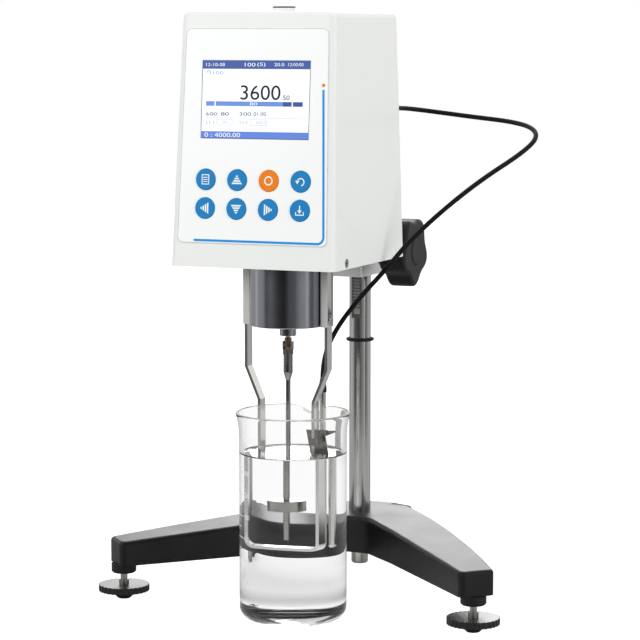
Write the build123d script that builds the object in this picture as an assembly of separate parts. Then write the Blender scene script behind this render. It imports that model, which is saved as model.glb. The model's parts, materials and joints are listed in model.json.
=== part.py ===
from build123d import *
import math
import os

# Rotational viscometer on a rack-and-pinion stand, with its glass beaker.
# Millimetres. +X to the right of somebody facing the display, +Y to the rear, +Z up.
# The origin lies on the bench, midway between the extremes of the object in X and Y.

# ---------------------------------------------------------------- driving dimensions
running_gap = 0.05      # radial clearance of a shaft in its hole
seat_gap = 0.3          # clearance between curved or moving faces
touch_gap = 0.02        # clearance between flat faces that meet

# measuring head
head_low = 235.7        # height of the head's lower edge above the bench
head_tall = 160.6
head_half_low = 56.7    # half width at the lower edge
head_half_high = 53.0
head_front_low = -58.8  # front edge behind (+) or before (-) the spindle axis, lower edge
head_front_high = -46.6
head_rear_low = 64.6
head_rear_high = 60.2
cover_wall = 2.4
cover_corner = 4.5
cover_top_round = 4.0
plate_thick = 7.0       # base plate that closes the head from below

# front panel, measured up the sloping front face from the head's lower edge
film_thick = 0.5
film_low, film_high = 15.3, 150.6
film_half_low, film_half_high = 51.4, 48.8
film_corner = 4.0
window_wide, window_tall = 74.4, 49.4
window_mid = 106.0
key_radius = 6.8
key_travel = 0.4
key_proud = 0.6
key_pitch_x, key_pitch_up = 21.7, 18.1
key_row_low = 37.4
key_names = [["key_left", "key_down", "key_right", "key_save"], ["key_print", "key_up", "key_ok", "key_back"]]
key_flange = 1.2
key_stem_radius = 2.0
key_stem_long = 3.4
board_thick = 1.6
module_thick = 6.0

# drive inside the head
motor_square, motor_tall = 39.0, 32.0
motor_plate_low = 296.0
bracket_sheet = 2.5
bracket_half = 24.0
shaft_radius = 1.5
disc_radius, disc_thick = 17.0, 1.5
upper_disc_low = 276.0
lower_disc_low = 262.0
spring_turns = 4
spring_inner, spring_pitch, spring_sheet, spring_wide = 3.6, 2.6, 0.5, 4.0
spring_low = 267.0
bearing_radius, bearing_tall = 8.0, 6.0

# shroud, coupling and spindle, heights above the bench
shroud_radius, shroud_wall = 24.7, 1.5
shroud_low = 194.0
hub_radius, hub_low = 5.45, 187.0
coupling_radius, coupling_high, coupling_low = 2.35, 185.9, 179.8
nut_high, nut_ring_low, nut_low = 178.4, 174.8, 167.9
nut_ring_radius, nut_radius = 3.45, 3.05
ear_thick = 0.9
spindle_head_low, spindle_taper_low = 163.2, 158.0
spindle_head_radius, spindle_radius = 3.1, 1.6
spindle_tip = 53.6
bob_radius, bob_thick, bob_mid = 9.35, 6.9, 76.5

# guard
guard_thick, guard_wide = 2.0, 8.0
guard_half_upper, guard_half_lower = 29.3, 20.1
guard_bend_high, guard_bend_low = 166.0, 144.5
guard_bottom = 47.0
guard_round = 5.0
holder_wide, holder_inner, holder_outer, holder_low = 10.4, 25.1, 29.8, 194.0
guard_screw_high = 198.7
guard_screw_radius, guard_screw_head = 1.5, 3.25

# temperature probe and its cord
probe_x, probe_y = 21.1, 8.0
probe_radius = 2.2
probe_tip, probe_high = 48.0, 150.0
relief_high, relief_radius = 158.5, 2.6
clip_sheet = 1.0
clip_low, clip_high = 108.0, 125.5
cord_radius = 1.6
socket_x, socket_high = 38.0, 332.5
plug_radius, plug_long, plug_relief_long = 4.6, 18.0, 9.0

# stand
column_behind = 126.7   # column axis behind the spindle axis
column_radius = 7.6
column_low, column_high = 30.0, 388.0
column_stud_radius, stud_low = 4.0, 11.9
nut_across, nut_tall = 12.7, 6.5
ring_radius, ring_low, ring_high = 8.7, 168.5, 172.3
rack_module = 0.7
rack_wide = 5.0
rack_low, rack_high = 190.6, 364.0
pinion_teeth = 14
pinion_high = 234.5
pressure = math.radians(20)
backlash = 0.14
rack_addendum, rack_dedendum = 0.75, 1.25   # in modules
pinion_addendum, pinion_dedendum = 0.9, 1.2
pinion_wide = 4.6
shaft_out_radius = 3.0
block_half = 13.0
block_low, block_high = 216.7, 262.0
block_front, block_wall = 97.4, 7.5
neck_low = 240.0
flange_half, flange_high, flange_thick = 20.0, 286.0, 5.0
block_screw_radius, block_screw_x, block_screw_low, block_screw_high = 2.0, 15.5, 268.0, 280.0
friction_radius = 3.0

# lift knob
knob_lobes = 5
knob_reach, knob_valley = 24.5, 20.2
knob_in, knob_out = 27.0, 46.0
knob_neck_radius, knob_neck_in = 9.0, 18.0
cap_radius, cap_thick = 9.5, 1.2
knob_round = 3.0

# base casting
base_low, base_high = 24.0, 49.5
hub_flat = 22.0         # radius of the level top round the column
leg_tip_high = 41.0
leg_angle = math.radians(45.6)
leg_half_tip, leg_past_foot = 12.0, 6.0
leg_root_back = 114.0   # length of the straight front edge of a leg
leg_bulge = 5.0
hub_front_half, hub_front_reach = 16.0, 26.3
far_root_x, far_root_reach = 25.0, 29.5
arm_root_half, arm_tip_half, arm_tip_high = 16.0, 11.5, 38.5
base_wall, base_roof = 5.0, 6.0
base_round = 2.5

# levelling feet
foot_x, foot_y = 125.9, 8.4
rear_foot_reach = 71.0
foot_travel = 4.0
foot_stud_radius = 2.4
collar_radius, collar_low = 8.45, 17.8
sleeve_radius, sleeve_high = 3.4, 13.1
foot_disc_radius, foot_disc_low, foot_disc_high = 17.3, 5.2, 9.6
foot_scallops, scallop_radius = 30, 1.3
pad_radius, pad_flat_radius = 7.2, 4.2
stud_depth = 14.0

# beaker
beaker_x, beaker_y = 2.8, 1.2
beaker_radius, beaker_wall, beaker_floor = 35.0, 2.0, 2.6
beaker_tall, rim_radius, rim_drop = 137.0, 37.6, 6.0
beaker_foot_round = 5.0

# bubble level and rear fittings
level_x, level_y = 0.0, -5.5
level_radius, level_tall, vial_radius, vial_thick = 7.3, 3.4, 5.8, 1.0
inlet_x, inlet_high = -38.0, 274.0
inlet_wide, inlet_tall, inlet_deep = 24.0, 48.0, 18.0
rocker_wide, rocker_tall, rocker_tilt = 12.0, 19.0, 9.0
cover_screw_radius, cover_screw_front, cover_screw_rear, cover_screw_up = 3.0, -38.0, 46.0, 3.7

# ---------------------------------------------------------------- places worked out
head_high = head_low + head_tall
lean = math.atan((head_front_high - head_front_low) / head_tall)
rear_foot_y = column_behind + rear_foot_reach
spindle_y = -(head_front_low + rear_foot_y + foot_disc_radius) / 2
column_y = spindle_y + column_behind
pitch_radius = rack_module * pinion_teeth / 2
pitch_line = column_radius - 0.9        # rack pitch line before the column's axis
pinion_y = column_y - pitch_line - pitch_radius
tooth_pitch = math.pi * rack_module
spindle_axis = Pos(0, spindle_y, 0)
column_axis = Pos(0, column_y, 0)
panel = Plane(origin=(0, spindle_y + head_front_low, head_low), x_dir=(1, 0, 0),
              z_dir=(0, -math.cos(lean), math.sin(lean)))
feet = {"left": (-foot_x, spindle_y + foot_y), "right": (foot_x, spindle_y + foot_y),
        "rear": (0, spindle_y + rear_foot_y)}
rear_slope = (head_rear_high - head_rear_low) / head_tall


def rear_at(height):
    """Y of the head's rear face at a height."""
    return spindle_y + head_rear_low + rear_slope * (height - head_low)


def rod(radius, low, high, x=0.0, y=0.0):
    """Upright round bar between two heights."""
    return Pos(x, y, (low + high) / 2) * Cylinder(radius, high - low)


def tube(outer, inner, low, high, x=0.0, y=0.0):
    return rod(outer, low, high, x, y) - rod(inner, low - 1, high + 1, x, y)


def block(x0, x1, y0, y1, z0, z1):
    """Box between two corners."""
    return Pos((x0 + x1) / 2, (y0 + y1) / 2, (z0 + z1) / 2) * Box(x1 - x0, y1 - y0, z1 - z0)


def along_x(radius, x0, x1, y, z):
    """Round bar along X."""
    return Pos((x0 + x1) / 2, y, z) * Rot(0, 90, 0) * Cylinder(radius, x1 - x0)


def along_y(radius, y0, y1, x, z):
    """Round bar along Y."""
    return Pos(x, (y0 + y1) / 2, z) * Rot(90, 0, 0) * Cylinder(radius, y1 - y0)


def on_panel(x, up, low, high, sketch):
    """Sketch pushed out of the sloping front, between two distances from its face."""
    return panel * (Pos(x, up, low) * extrude(sketch, high - low))


def turned(points, x=0.0, y=0.0):
    """Solid of revolution about an upright axis, from (radius, height) points."""
    profile = Plane.XZ * make_face(Polyline(*points, close=True))
    return Pos(x, y, 0) * revolve(profile, Axis.Z)


# ---------------------------------------------------------------- base casting
def leg_points():
    """Corners of the right half of the base's outline, in the plan."""
    fx, fy = feet["right"]
    run = Vector(math.cos(leg_angle), -math.sin(leg_angle))
    side = Vector(math.sin(leg_angle), math.cos(leg_angle))
    tip = Vector(fx, fy) + run * leg_past_foot
    near = tip - side * leg_half_tip
    far = tip + side * leg_half_tip
    root = near - run * leg_root_back
    return near, far, root


def base_plan():
    """Outline of the two front legs and the hub they spring from."""
    near, far, root = leg_points()
    front = column_y - hub_front_reach
    back = column_y + far_root_reach
    far_root = Vector(far_root_x, back)
    middle = (far + far_root) * 0.5
    across = (far - far_root).normalized()
    bulge = middle + Vector(-across.Y, across.X) * leg_bulge
    outline = [
        Line((0, front), (hub_front_half, front)),
        Line((hub_front_half, front), root),
        Line(root, near),
        Line(near, far),
        ThreePointArc(far, bulge, far_root),
        Line(far_root, (0, back)),
        Line((0, back), (0, front)),
    ]
    half = make_face(outline)
    plan = half + mirror(half, Plane.YZ)
    rounds = [(Vector(hub_front_half, front), 12), (root, 30), (near, 4), (far, 4), (far_root, 8)]
    for spot, radius in rounds:
        picked = [v for v in plan.vertices()
                  if abs(abs(v.X) - spot.X) < 0.01 and abs(v.Y - spot.Y) < 0.01]
        plan = fillet(picked, radius)
    return plan


def crown(drop):
    """Everything under the gently falling top of the hub and the front legs, lowered by drop."""
    reach = 200.0
    fall = (base_high - leg_tip_high) / (math.hypot(foot_x, column_behind - foot_y) - hub_flat)
    edge = base_high - drop - fall * (reach - hub_flat)
    cone = turned([(0, 0), (0, base_high - drop), (hub_flat, base_high - drop), (reach, edge), (reach, 0)])
    return column_axis * cone


def rear_arm(inset=0.0, drop=0.0):
    """Tapered arm to the rear foot, its top falling away from the hub."""
    start = column_y + hub_flat / 2
    end = feet["rear"][1] + leg_past_foot
    outline = Polyline((-arm_root_half + inset, start), (arm_root_half - inset, start),
                       (arm_tip_half - inset, end - inset), (-arm_tip_half + inset, end - inset), close=True)
    plan = make_face(outline)
    plan = fillet(plan.vertices().sort_by(Axis.Y)[-2:], 5 - inset / 2)
    side = Polyline((start - 1, base_low), (start - 1, base_high - drop),
                    (column_y + far_root_reach + 2, base_high - drop), (end + 1, arm_tip_high - drop),
                    (end + 1, base_low), close=True)
    slab = extrude(Plane.YZ * make_face(side), 40, both=True)
    return (Pos(0, 0, base_low) * extrude(plan, 40)) & slab


def rim(body, least):
    """Outer edges of the top, where it meets the upright walls."""
    tops = [f for f in body.faces() if f.normal_at().Z > 0.5]
    edges = []
    for face in tops:
        for edge in face.outer_wire().edges():
            shared = [f for f in tops if f is not face and edge in f.edges()]
            if not shared and edge.length > least:
                edges.append(edge)
    return edges


def base_casting():
    plan = base_plan()
    legs = (Pos(0, 0, base_low) * extrude(plan, base_high - base_low)) & crown(0)
    legs = fillet(rim(legs, 0.1), base_round)
    arm = rear_arm()
    arm = fillet(rim(arm, 0.1), base_round)
    body = legs + arm
    pocket = (Pos(0, 0, base_low - 1) * extrude(offset(plan, -base_wall), base_high)) & crown(base_roof)
    pocket += rear_arm(base_wall, base_roof)
    pocket += Pos(0, 0, -1) * rear_arm(base_wall, base_roof + 1)
    pocket -= rod(column_radius + base_wall + 2, 0, 90, 0, column_y)
    for x, y in feet.values():
        pocket -= rod(collar_radius + 1.5, 0, 90, x, y)
    for turn in (-leg_angle, math.pi + leg_angle):
        pocket -= column_axis * Rot(0, 0, math.degrees(turn)) * Pos(90, 0, 25) * Box(180, 3, 60)
    body -= pocket
    body -= rod(column_radius + running_gap, column_low, 90, 0, column_y)
    body -= rod(column_stud_radius + running_gap, 0, 90, 0, column_y)
    for x, y in feet.values():
        body -= rod(foot_stud_radius + running_gap, 0, foot_stud_top() + foot_travel + 1, x, y)
    return body


# ---------------------------------------------------------------- levelling feet
def foot_stud_top():
    return base_low + stud_depth - foot_travel


def foot_collars():
    rings = [tube(collar_radius, foot_stud_radius + running_gap, collar_low, base_low, x, y)
             for x, y in feet.values()]
    return Compound(children=[chamfer(r.edges().sort_by(Axis.Z)[:1], 1.0) for r in rings])


def foot_screw(x, y):
    stud = rod(foot_stud_radius, foot_disc_low + 1, foot_stud_top(), x, y)
    return stud + rod(sleeve_radius, foot_disc_high, sleeve_high, x, y)


def foot_disc(x, y):
    """Knurled hand wheel and the rubber dome under it, as two solids."""
    wheel = rod(foot_disc_radius, foot_disc_low, foot_disc_high)
    cutter = rod(scallop_radius, 0, foot_disc_high + 1)
    for turn in PolarLocations(foot_disc_radius + scallop_radius * 0.45, foot_scallops):
        wheel -= turn * cutter
    wheel -= rod(foot_stud_radius, foot_disc_low + 1, foot_disc_high + 1)
    dome = turned([(0, 0), (pad_flat_radius, 0), (pad_radius * 0.86, foot_disc_low * 0.36),
                   (pad_radius, foot_disc_low * 0.8), (pad_radius, foot_disc_low), (0, foot_disc_low)])
    return Compound(children=[Pos(x, y, 0) * wheel, Pos(x, y, 0) * dome])


# ---------------------------------------------------------------- column and rack
def column():
    body = rod(column_radius, column_low, column_high)
    body = chamfer(body.edges().sort_by(Axis.Z)[-1:], 1.0)
    body += rod(column_stud_radius, stud_low, column_low)
    flat = column_radius - 1.0
    body -= block(-column_radius, column_radius, -column_radius - 1, -flat, rack_low - 5, rack_high + 2)
    body -= block(-rack_wide / 2, rack_wide / 2, -column_radius - 1, rack_root() + rack_back,
                  rack_low - 2, rack_high)
    return column_axis * body


rack_back = 2.6


def rack_root():
    """Y of the rack's tooth roots from the column axis."""
    return -pitch_line + rack_dedendum * rack_module


def rack():
    tip = -pitch_line - rack_addendum * rack_module
    root = rack_root()
    half = (tooth_pitch / 2 - backlash / 2) / 2
    slope = math.tan(pressure)
    half_tip = half - slope * rack_addendum * rack_module
    half_root = half + slope * rack_dedendum * rack_module
    first = math.ceil((rack_low - pinion_high) / tooth_pitch)
    last = math.floor((rack_high - 1 - pinion_high) / tooth_pitch)
    points = [(root + rack_back, rack_low - 2), (root, rack_low - 2)]
    for k in range(first, last + 1):
        z = pinion_high + k * tooth_pitch
        points += [(root, z - half_root), (tip, z - half_tip), (tip, z + half_tip), (root, z + half_root)]
    points += [(root, rack_high), (root + rack_back, rack_high)]
    profile = Plane.YZ * make_face(Polyline(*points, close=True))
    return column_axis * extrude(profile, rack_wide / 2, both=True)


def column_nut():
    washer = tube(8.0, column_stud_radius, base_low - 1.6, base_low)
    high = base_low - 1.6
    hexagon = extrude(RegularPolygon(nut_across / 2, 6, major_radius=False), nut_tall)
    nut = Pos(0, 0, high - nut_tall) * hexagon - rod(column_stud_radius, 0, 90)
    return Compound(children=[column_axis * washer, column_axis * nut])


def stop_ring():
    ring = tube(ring_radius, column_radius, ring_low, ring_high)
    return column_axis * fillet(ring.edges().filter_by(GeomType.CIRCLE).sort_by(SortBy.RADIUS)[-2:], 0.9)


# ---------------------------------------------------------------- slide block and knob
def slide_block():
    back = column_y + column_radius + block_wall
    front = spindle_y + block_front
    rear_wall = rear_at(neck_low)
    body = block(-block_half, block_half, front, back, block_low, block_high)
    body = fillet(body.edges().filter_by(Axis.Z), 2.0)
    body += block(-block_half, block_half, rear_wall - 5, front + 1, neck_low, block_high)
    body += block(-flange_half, flange_half, rear_wall - 5, rear_wall + flange_thick, neck_low, flange_high)
    body -= head_outer(-touch_gap)
    body -= rod(column_radius + running_gap, 0, 500, 0, column_y)
    body -= along_x(shaft_out_radius + running_gap, -block_half - 1, block_half + 1, pinion_y, pinion_high)
    pocket = pitch_radius + pinion_addendum * rack_module + seat_gap
    body -= along_x(pocket, -pinion_wide / 2 - seat_gap, pinion_wide / 2 + seat_gap, pinion_y, pinion_high)
    for x, z in block_screw_places():
        body -= along_y(block_screw_radius + running_gap, rear_wall - 20, rear_wall + 20, x, z)
    body -= along_y(friction_radius + running_gap, column_y, back + 5, 0, (block_low + block_high) / 2)
    return body


def block_screw_places():
    return [(sx * block_screw_x, z) for sx in (-1, 1) for z in (block_screw_low, block_screw_high)]


def block_screws():
    pieces = []
    for x, z in block_screw_places():
        y = rear_at(neck_low) + flange_thick + touch_gap
        pieces.append(along_y(block_screw_radius, y - 16, y, x, z) + along_y(3.6, y, y + 3.5, x, z))
    z = (block_low + block_high) / 2
    back = column_y + column_radius + block_wall
    pin = along_y(friction_radius, column_y + column_radius + running_gap, back + 2.5, 0, z)
    pieces.append(pin - along_y(1.5, back, back + 3, 0, z))
    return Compound(children=pieces)


def pinion_profile():
    """Involute pinion with a tooth gap pointing at the rack."""
    base_radius = pitch_radius * math.cos(pressure)
    outer = pitch_radius + pinion_addendum * rack_module
    root = pitch_radius - pinion_dedendum * rack_module
    half = (tooth_pitch / 2 - backlash / 2) / 2 / pitch_radius

    def inv(a):
        return math.tan(a) - a

    flank = []
    for k in range(5):
        r = base_radius + (outer - base_radius) * k / 4
        flank.append((r, half + inv(pressure) - inv(math.acos(base_radius / r))))
    points = []
    for tooth in range(pinion_teeth):
        middle = 2 * math.pi * (tooth + 0.5) / pinion_teeth
        left = [(root, flank[0][1])] + flank
        for r, a in left:
            points.append((r * math.cos(middle - a), r * math.sin(middle - a)))
        for r, a in reversed(left):
            points.append((r * math.cos(middle + a), r * math.sin(middle + a)))
    return points


def pinion_shaft():
    gear = Plane.YZ * make_face(Polyline(*pinion_profile(), close=True))
    body = Pos(0, pinion_y, pinion_high) * extrude(gear, pinion_wide / 2, both=True)
    return body + along_x(shaft_out_radius, -block_half, knob_out - 6, pinion_y, pinion_high)


def lift_knob():
    """Five-lobed hand knob: waves round a circle, crowned, with a neck towards the block."""
    mean = (knob_reach + knob_valley) / 2
    wave = (knob_reach - knob_valley) / 2
    steps = 8 * knob_lobes
    points = []
    for k in range(steps):
        a = 2 * math.pi * k / steps
        r = mean + wave * math.cos(knob_lobes * a)
        points.append((r * math.cos(a - math.pi / 2), r * math.sin(a - math.pi / 2)))
    grip = extrude(make_face(Spline(*points, periodic=True)), knob_out - knob_in)
    grip = fillet(grip.edges().group_by(Axis.Z)[0] + grip.edges().group_by(Axis.Z)[-1], knob_round)
    neck = Pos(0, 0, (knob_neck_in - knob_in) / 2) * Cone(knob_neck_radius, knob_neck_radius + 4,
                                                          knob_in - knob_neck_in)
    body = grip + neck
    body -= Pos(0, 0, knob_out - knob_in) * Cylinder(cap_radius, 2 * cap_thick)
    body -= Pos(0, 0, -20) * Cylinder(shaft_out_radius + running_gap, 2 * (20 + knob_out - knob_in - 6))
    return Plane(origin=(knob_in, pinion_y, pinion_high), x_dir=(0, 1, 0), z_dir=(1, 0, 0)) * body


def knob_cap():
    high = knob_out - cap_thick
    disc = along_x(cap_radius - seat_gap, high, knob_out + 0.4, pinion_y, pinion_high)
    return fillet(disc.edges().sort_by(Axis.X)[-1:], 0.8)


# ---------------------------------------------------------------- head housing
def head_section(height, inset):
    t = (height - head_low) / head_tall
    half = head_half_low + t * (head_half_high - head_half_low) - inset
    front = spindle_y + head_front_low + t * (head_front_high - head_front_low) + inset
    rear = spindle_y + head_rear_low + t * (head_rear_high - head_rear_low) - inset
    corner = max(cover_corner - inset, 1.0)
    return Pos(0, (front + rear) / 2, height) * RectangleRounded(2 * half, rear - front, corner)


def head_outer(inset=0.0, low=None, high=None):
    """Tapered body of the head; inset moves its walls in."""
    low = head_low if low is None else low
    high = head_high if high is None else high
    return loft([head_section(low, inset), head_section(high, inset)])


def head_cover():
    body = head_outer()
    body = fillet(body.faces().sort_by(Axis.Z)[-1].edges(), cover_top_round)
    body -= head_outer(cover_wall, head_low - 1, head_high - cover_wall)
    body -= on_panel(0, window_mid, -8, 5, Rectangle(window_wide, window_tall))
    for x, up in key_places().values():
        body -= on_panel(x, up, -8, 5, Circle(key_radius + seat_gap / 2))
    for x, up in board_posts():
        post = on_panel(x, up, -board_depth(), -cover_wall + 0.5, Circle(3.0))
        body += post
    body -= along_y(probe_socket_radius, rear_at(socket_high) - 10, rear_at(socket_high) + 10,
                    socket_x, socket_high)
    rear = rear_at(inlet_high)
    body -= block(inlet_x - inlet_wide / 2, inlet_x + inlet_wide / 2, rear - 10, rear + 10,
                  inlet_high - inlet_tall / 2, inlet_high + inlet_tall / 2)
    for x, z in block_screw_places():
        body -= along_y(block_screw_radius + running_gap, rear_at(z) - 10, rear_at(z) + 10, x, z)
    for x, y, z, out in cover_screw_places():
        body -= along_x(cover_screw_radius + running_gap, x - 4, x + 4, y, z)
    body -= rod(level_radius - 2, head_high - 10, head_high + 10, level_x, spindle_y + level_y)
    return body


probe_socket_radius = 6.0


def board_depth():
    """Depth of the key board's front face behind the panel's face."""
    return cover_wall + key_flange + key_stem_long + 0.6


def board_posts():
    low = key_row_low - 14.0
    high = key_row_low + key_pitch_up + 12.0
    return [(x, up) for x in (-42.0, 42.0) for up in (low, high)]


def base_plate():
    """Deep plate that closes the head and carries everything in it."""
    low = head_low + 0.3
    body = head_outer(cover_wall + touch_gap, low, low + plate_thick)
    body -= rod(shaft_radius + 1.5, 0, 500, 0, spindle_y)
    body -= rod(bearing_radius, low + plate_thick - 3, 500, 0, spindle_y)
    for x, y, z, out in cover_screw_places():
        inner = x - out * 12
        body -= along_x(cover_screw_radius / 2, min(inner, x), max(inner, x), y, z)
    return body


def cover_screw_places():
    z = head_low + cover_screw_up
    t = cover_screw_up / head_tall
    half = head_half_low + t * (head_half_high - head_half_low)
    return [(out * half, spindle_y + y, z, out) for out in (-1, 1)
            for y in (cover_screw_front, cover_screw_rear)]


def cover_screws():
    pieces = []
    for x, y, z, out in cover_screw_places():
        head = Pos(x - out * 1.3, y, z) * Rot(0, 90, 0) * Cone(
            cover_screw_radius / 2 if out > 0 else cover_screw_radius,
            cover_screw_radius if out > 0 else cover_screw_radius / 2, 2.2)
        inner = x - out * 11
        outer = x - out * 2.4
        pieces.append(head + along_x(cover_screw_radius / 2, min(inner, outer), max(inner, outer), y, z))
    return Compound(children=pieces)


# ---------------------------------------------------------------- front panel
def key_places():
    places = {}
    for row, names in enumerate(key_names):
        for column_index, name in enumerate(names):
            x = (column_index - 1.5) * key_pitch_x
            places[name] = (x, key_row_low + row * key_pitch_up)
    return places


def panel_overlay():
    outline = Polyline((-film_half_low, film_low), (film_half_low, film_low),
                       (film_half_high, film_high), (-film_half_high, film_high), close=True)
    sheet = make_face(outline)
    sheet = fillet(sheet.vertices(), film_corner)
    sheet -= Pos(0, window_mid) * Rectangle(window_wide, window_tall)
    for x, up in key_places().values():
        sheet -= Pos(x, up) * Circle(key_radius + seat_gap / 2)
    return on_panel(0, 0, touch_gap, film_thick, sheet)


def display_lens():
    pane = Rectangle(window_wide - seat_gap, window_tall - seat_gap)
    return on_panel(0, window_mid, -cover_wall, film_thick - 0.1, pane)


def display_module():
    frame = Rectangle(window_wide + 8, window_tall + 8)
    return on_panel(0, window_mid, -cover_wall - touch_gap - module_thick, -cover_wall - touch_gap, frame)


def key_cap(x, up):
    top = on_panel(x, up, -cover_wall - touch_gap, film_thick + key_proud, Circle(key_radius))
    top = fillet(top.faces().sort_by(Axis.Y)[0].edges(), 0.4)
    low = -cover_wall - touch_gap
    flange = on_panel(x, up, low - key_flange, low, Circle(key_radius + 0.8))
    stem = on_panel(x, up, low - key_flange - key_stem_long, low - key_flange, Circle(key_stem_radius))
    return top + flange + stem


def keypad_board():
    """Circuit board with one push switch behind each key."""
    low, high = board_posts()[0][1] - 4, board_posts()[1][1] + 4
    depth = board_depth()
    front = -depth - touch_gap
    body = on_panel(0, (low + high) / 2, front - board_thick, front, Rectangle(92, high - low))
    tip = -cover_wall - touch_gap - key_flange - key_stem_long
    for x, up in key_places().values():
        body += on_panel(x, up, front, tip - key_travel - 0.08, Rectangle(6, 6))
    return body


def main_board():
    """Controller board, standing on edge on two feet behind the display."""
    y = spindle_y - 33.0
    low = head_low + 0.3 + plate_thick + touch_gap
    body = block(-42, 42, y, y + board_thick, low + 6, low + 118)
    for x in (-36, 36):
        body += block(x - 4, x + 4, y, y + 8, low, low + 8)
    for x, z, w, h, deep in ((-20, 60, 16, 16, 3), (14, 74, 20, 12, 4), (18, 34, 12, 18, 9), (-24, 26, 10, 10, 6)):
        body += block(x - w / 2, x + w / 2, y + board_thick, y + board_thick + deep,
                      low + z - h / 2, low + z + h / 2)
    return body


# ---------------------------------------------------------------- drive
def plate_top():
    return head_low + 0.3 + plate_thick


def motor_bracket():
    """Bent sheet gallows that holds the motor above the spindle."""
    low = plate_top() + touch_gap
    high = motor_plate_low + bracket_sheet
    body = block(-bracket_half, bracket_half, -15, 15, motor_plate_low, high)
    for side in (-1, 1):
        x0 = side * bracket_half
        x1 = side * (bracket_half - bracket_sheet)
        body += block(min(x0, x1), max(x0, x1), -15, 15, low, high)
        foot = side * (bracket_half + 9)
        body += block(min(x0, foot), max(x0, foot), -15, 15, low, low + bracket_sheet)
    body -= rod(shaft_radius + 2.0, 0, 500)
    return spindle_axis * body


def motor():
    low = motor_plate_low + bracket_sheet + touch_gap
    size = motor_square
    case = block(-size / 2, size / 2, -size / 2, size / 2, low, low + motor_tall)
    case = chamfer(case.edges().filter_by(Axis.Z), 4.0)
    return spindle_axis * (case - rod(shaft_radius + running_gap, 0, low + 10))


def motor_spindle():
    low = motor_plate_low + bracket_sheet
    body = rod(shaft_radius, upper_disc_low, low + 9)
    body += rod(disc_radius, upper_disc_low, upper_disc_low + disc_thick)
    body += rod(4.0, upper_disc_low + disc_thick, upper_disc_low + disc_thick + 6)
    post = rod(0.8, spring_low, upper_disc_low, -(spring_outer() + spring_sheet / 2 + 0.8 + touch_gap))
    return spindle_axis * (body + post)


def spring_outer():
    return spring_inner + spring_turns * spring_pitch


def torsion_spring():
    """Flat spiral hairspring, from half circles whose radius steps out."""
    arcs = []
    radius, centre, step = spring_inner, 0.0, spring_pitch / 2
    for k in range(2 * spring_turns):
        sign = 1 if k % 2 else -1
        radius += step
        centre -= sign * step
        arcs.append((centre, radius, sign))
    ribbon = None
    for centre, r, sign in arcs:
        ring = Pos(centre, 0) * (Circle(r + spring_sheet / 2) - Circle(r - spring_sheet / 2))
        reach = 2 * (r + spring_sheet)
        half = ring & (Pos(0, sign * reach / 2) * Rectangle(4 * reach, reach))
        ribbon = half if ribbon is None else ribbon + half
    body = Pos(0, 0, spring_low) * extrude(ribbon, spring_wide)
    return spindle_axis * body


def encoder_disc():
    """Lower disc on the spindle's shaft, with the slots its light sensor counts."""
    body = rod(disc_radius, lower_disc_low, lower_disc_low + disc_thick)
    slot = block(disc_radius - 4, disc_radius - 1.5, -0.5, 0.5, lower_disc_low - 1, lower_disc_low + 3)
    for turn in PolarLocations(0, 24):
        body -= turn * slot
    hub = spring_inner - spring_sheet / 2 - seat_gap
    body += rod(hub, lower_disc_low + disc_thick, spring_low + spring_wide)
    return spindle_axis * (body - rod(shaft_radius, 0, 500))


def drive_shaft():
    return spindle_axis * rod(shaft_radius, coupling_high, spring_low + spring_wide)


def shaft_bearing():
    low = plate_top() - 3 + touch_gap
    return spindle_axis * tube(bearing_radius - touch_gap, shaft_radius + running_gap, low, low + bearing_tall)


def shroud():
    body = rod(shroud_radius, shroud_low, head_low + 0.3 - touch_gap)
    body = chamfer(body.faces().sort_by(Axis.Z)[0].edges(), 0.5)
    body -= rod(shroud_radius - shroud_wall, shroud_low + 2.5, 500)
    body -= rod(shaft_radius + 1.0, 0, 500)
    return spindle_axis * body


def pivot_hub():
    body = rod(hub_radius, hub_low, shroud_low - touch_gap)
    body = chamfer(body.edges().sort_by(Axis.Z)[:1], 0.4)
    return spindle_axis * (body - rod(shaft_radius + running_gap, 0, 500))


def coupling():
    """Bronze end of the drive shaft, with a waist for the yoke's pin."""
    body = rod(coupling_radius, coupling_low + 1.6, coupling_high)
    body += rod(coupling_radius - 0.5, coupling_low, coupling_low + 1.6)
    return spindle_axis * body


def coupling_nut():
    """Knurled nut with two ears that straddle the bronze end."""
    body = rod(nut_ring_radius, nut_ring_low, nut_high)
    cutter = rod(0.35, 0, 400)
    for turn in PolarLocations(nut_ring_radius + 0.1, 24):
        body -= turn * cutter
    body += rod(nut_radius, nut_low, nut_ring_low)
    body -= rod(spindle_radius, nut_low - 1, nut_high - 1)
    for side in (-1, 1):
        x0 = side * (coupling_radius + 0.0)
        x1 = side * (coupling_radius + ear_thick)
        ear = block(min(x0, x1), max(x0, x1), -1.8, 1.8, nut_high - 0.5, 183.6)
        body += ear
    body += block(-coupling_radius - 0.2, coupling_radius + 0.2, -0.7, 0.7, nut_high, coupling_low)
    return spindle_axis * body


def spindle():
    head = turned([(0, spindle_taper_low), (spindle_radius, spindle_taper_low),
                   (spindle_head_radius, spindle_head_low), (spindle_head_radius, nut_low), (0, nut_low)])
    rod_part = rod(spindle_radius, spindle_tip, nut_high - 1)
    bob = rod(bob_radius, bob_mid - bob_thick / 2, bob_mid + bob_thick / 2)
    body = head + rod_part + bob
    return spindle_axis * body


# ---------------------------------------------------------------- guard
def guard_line(offset_in):
    """Right half of the guard's shape, from its top down, moved in by offset_in."""
    upper = guard_half_upper - offset_in
    lower = guard_half_lower - offset_in
    return [(upper, head_low - 1.5), (upper, guard_bend_high), (lower, guard_bend_low),
            (lower, guard_bottom + offset_in)]


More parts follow.
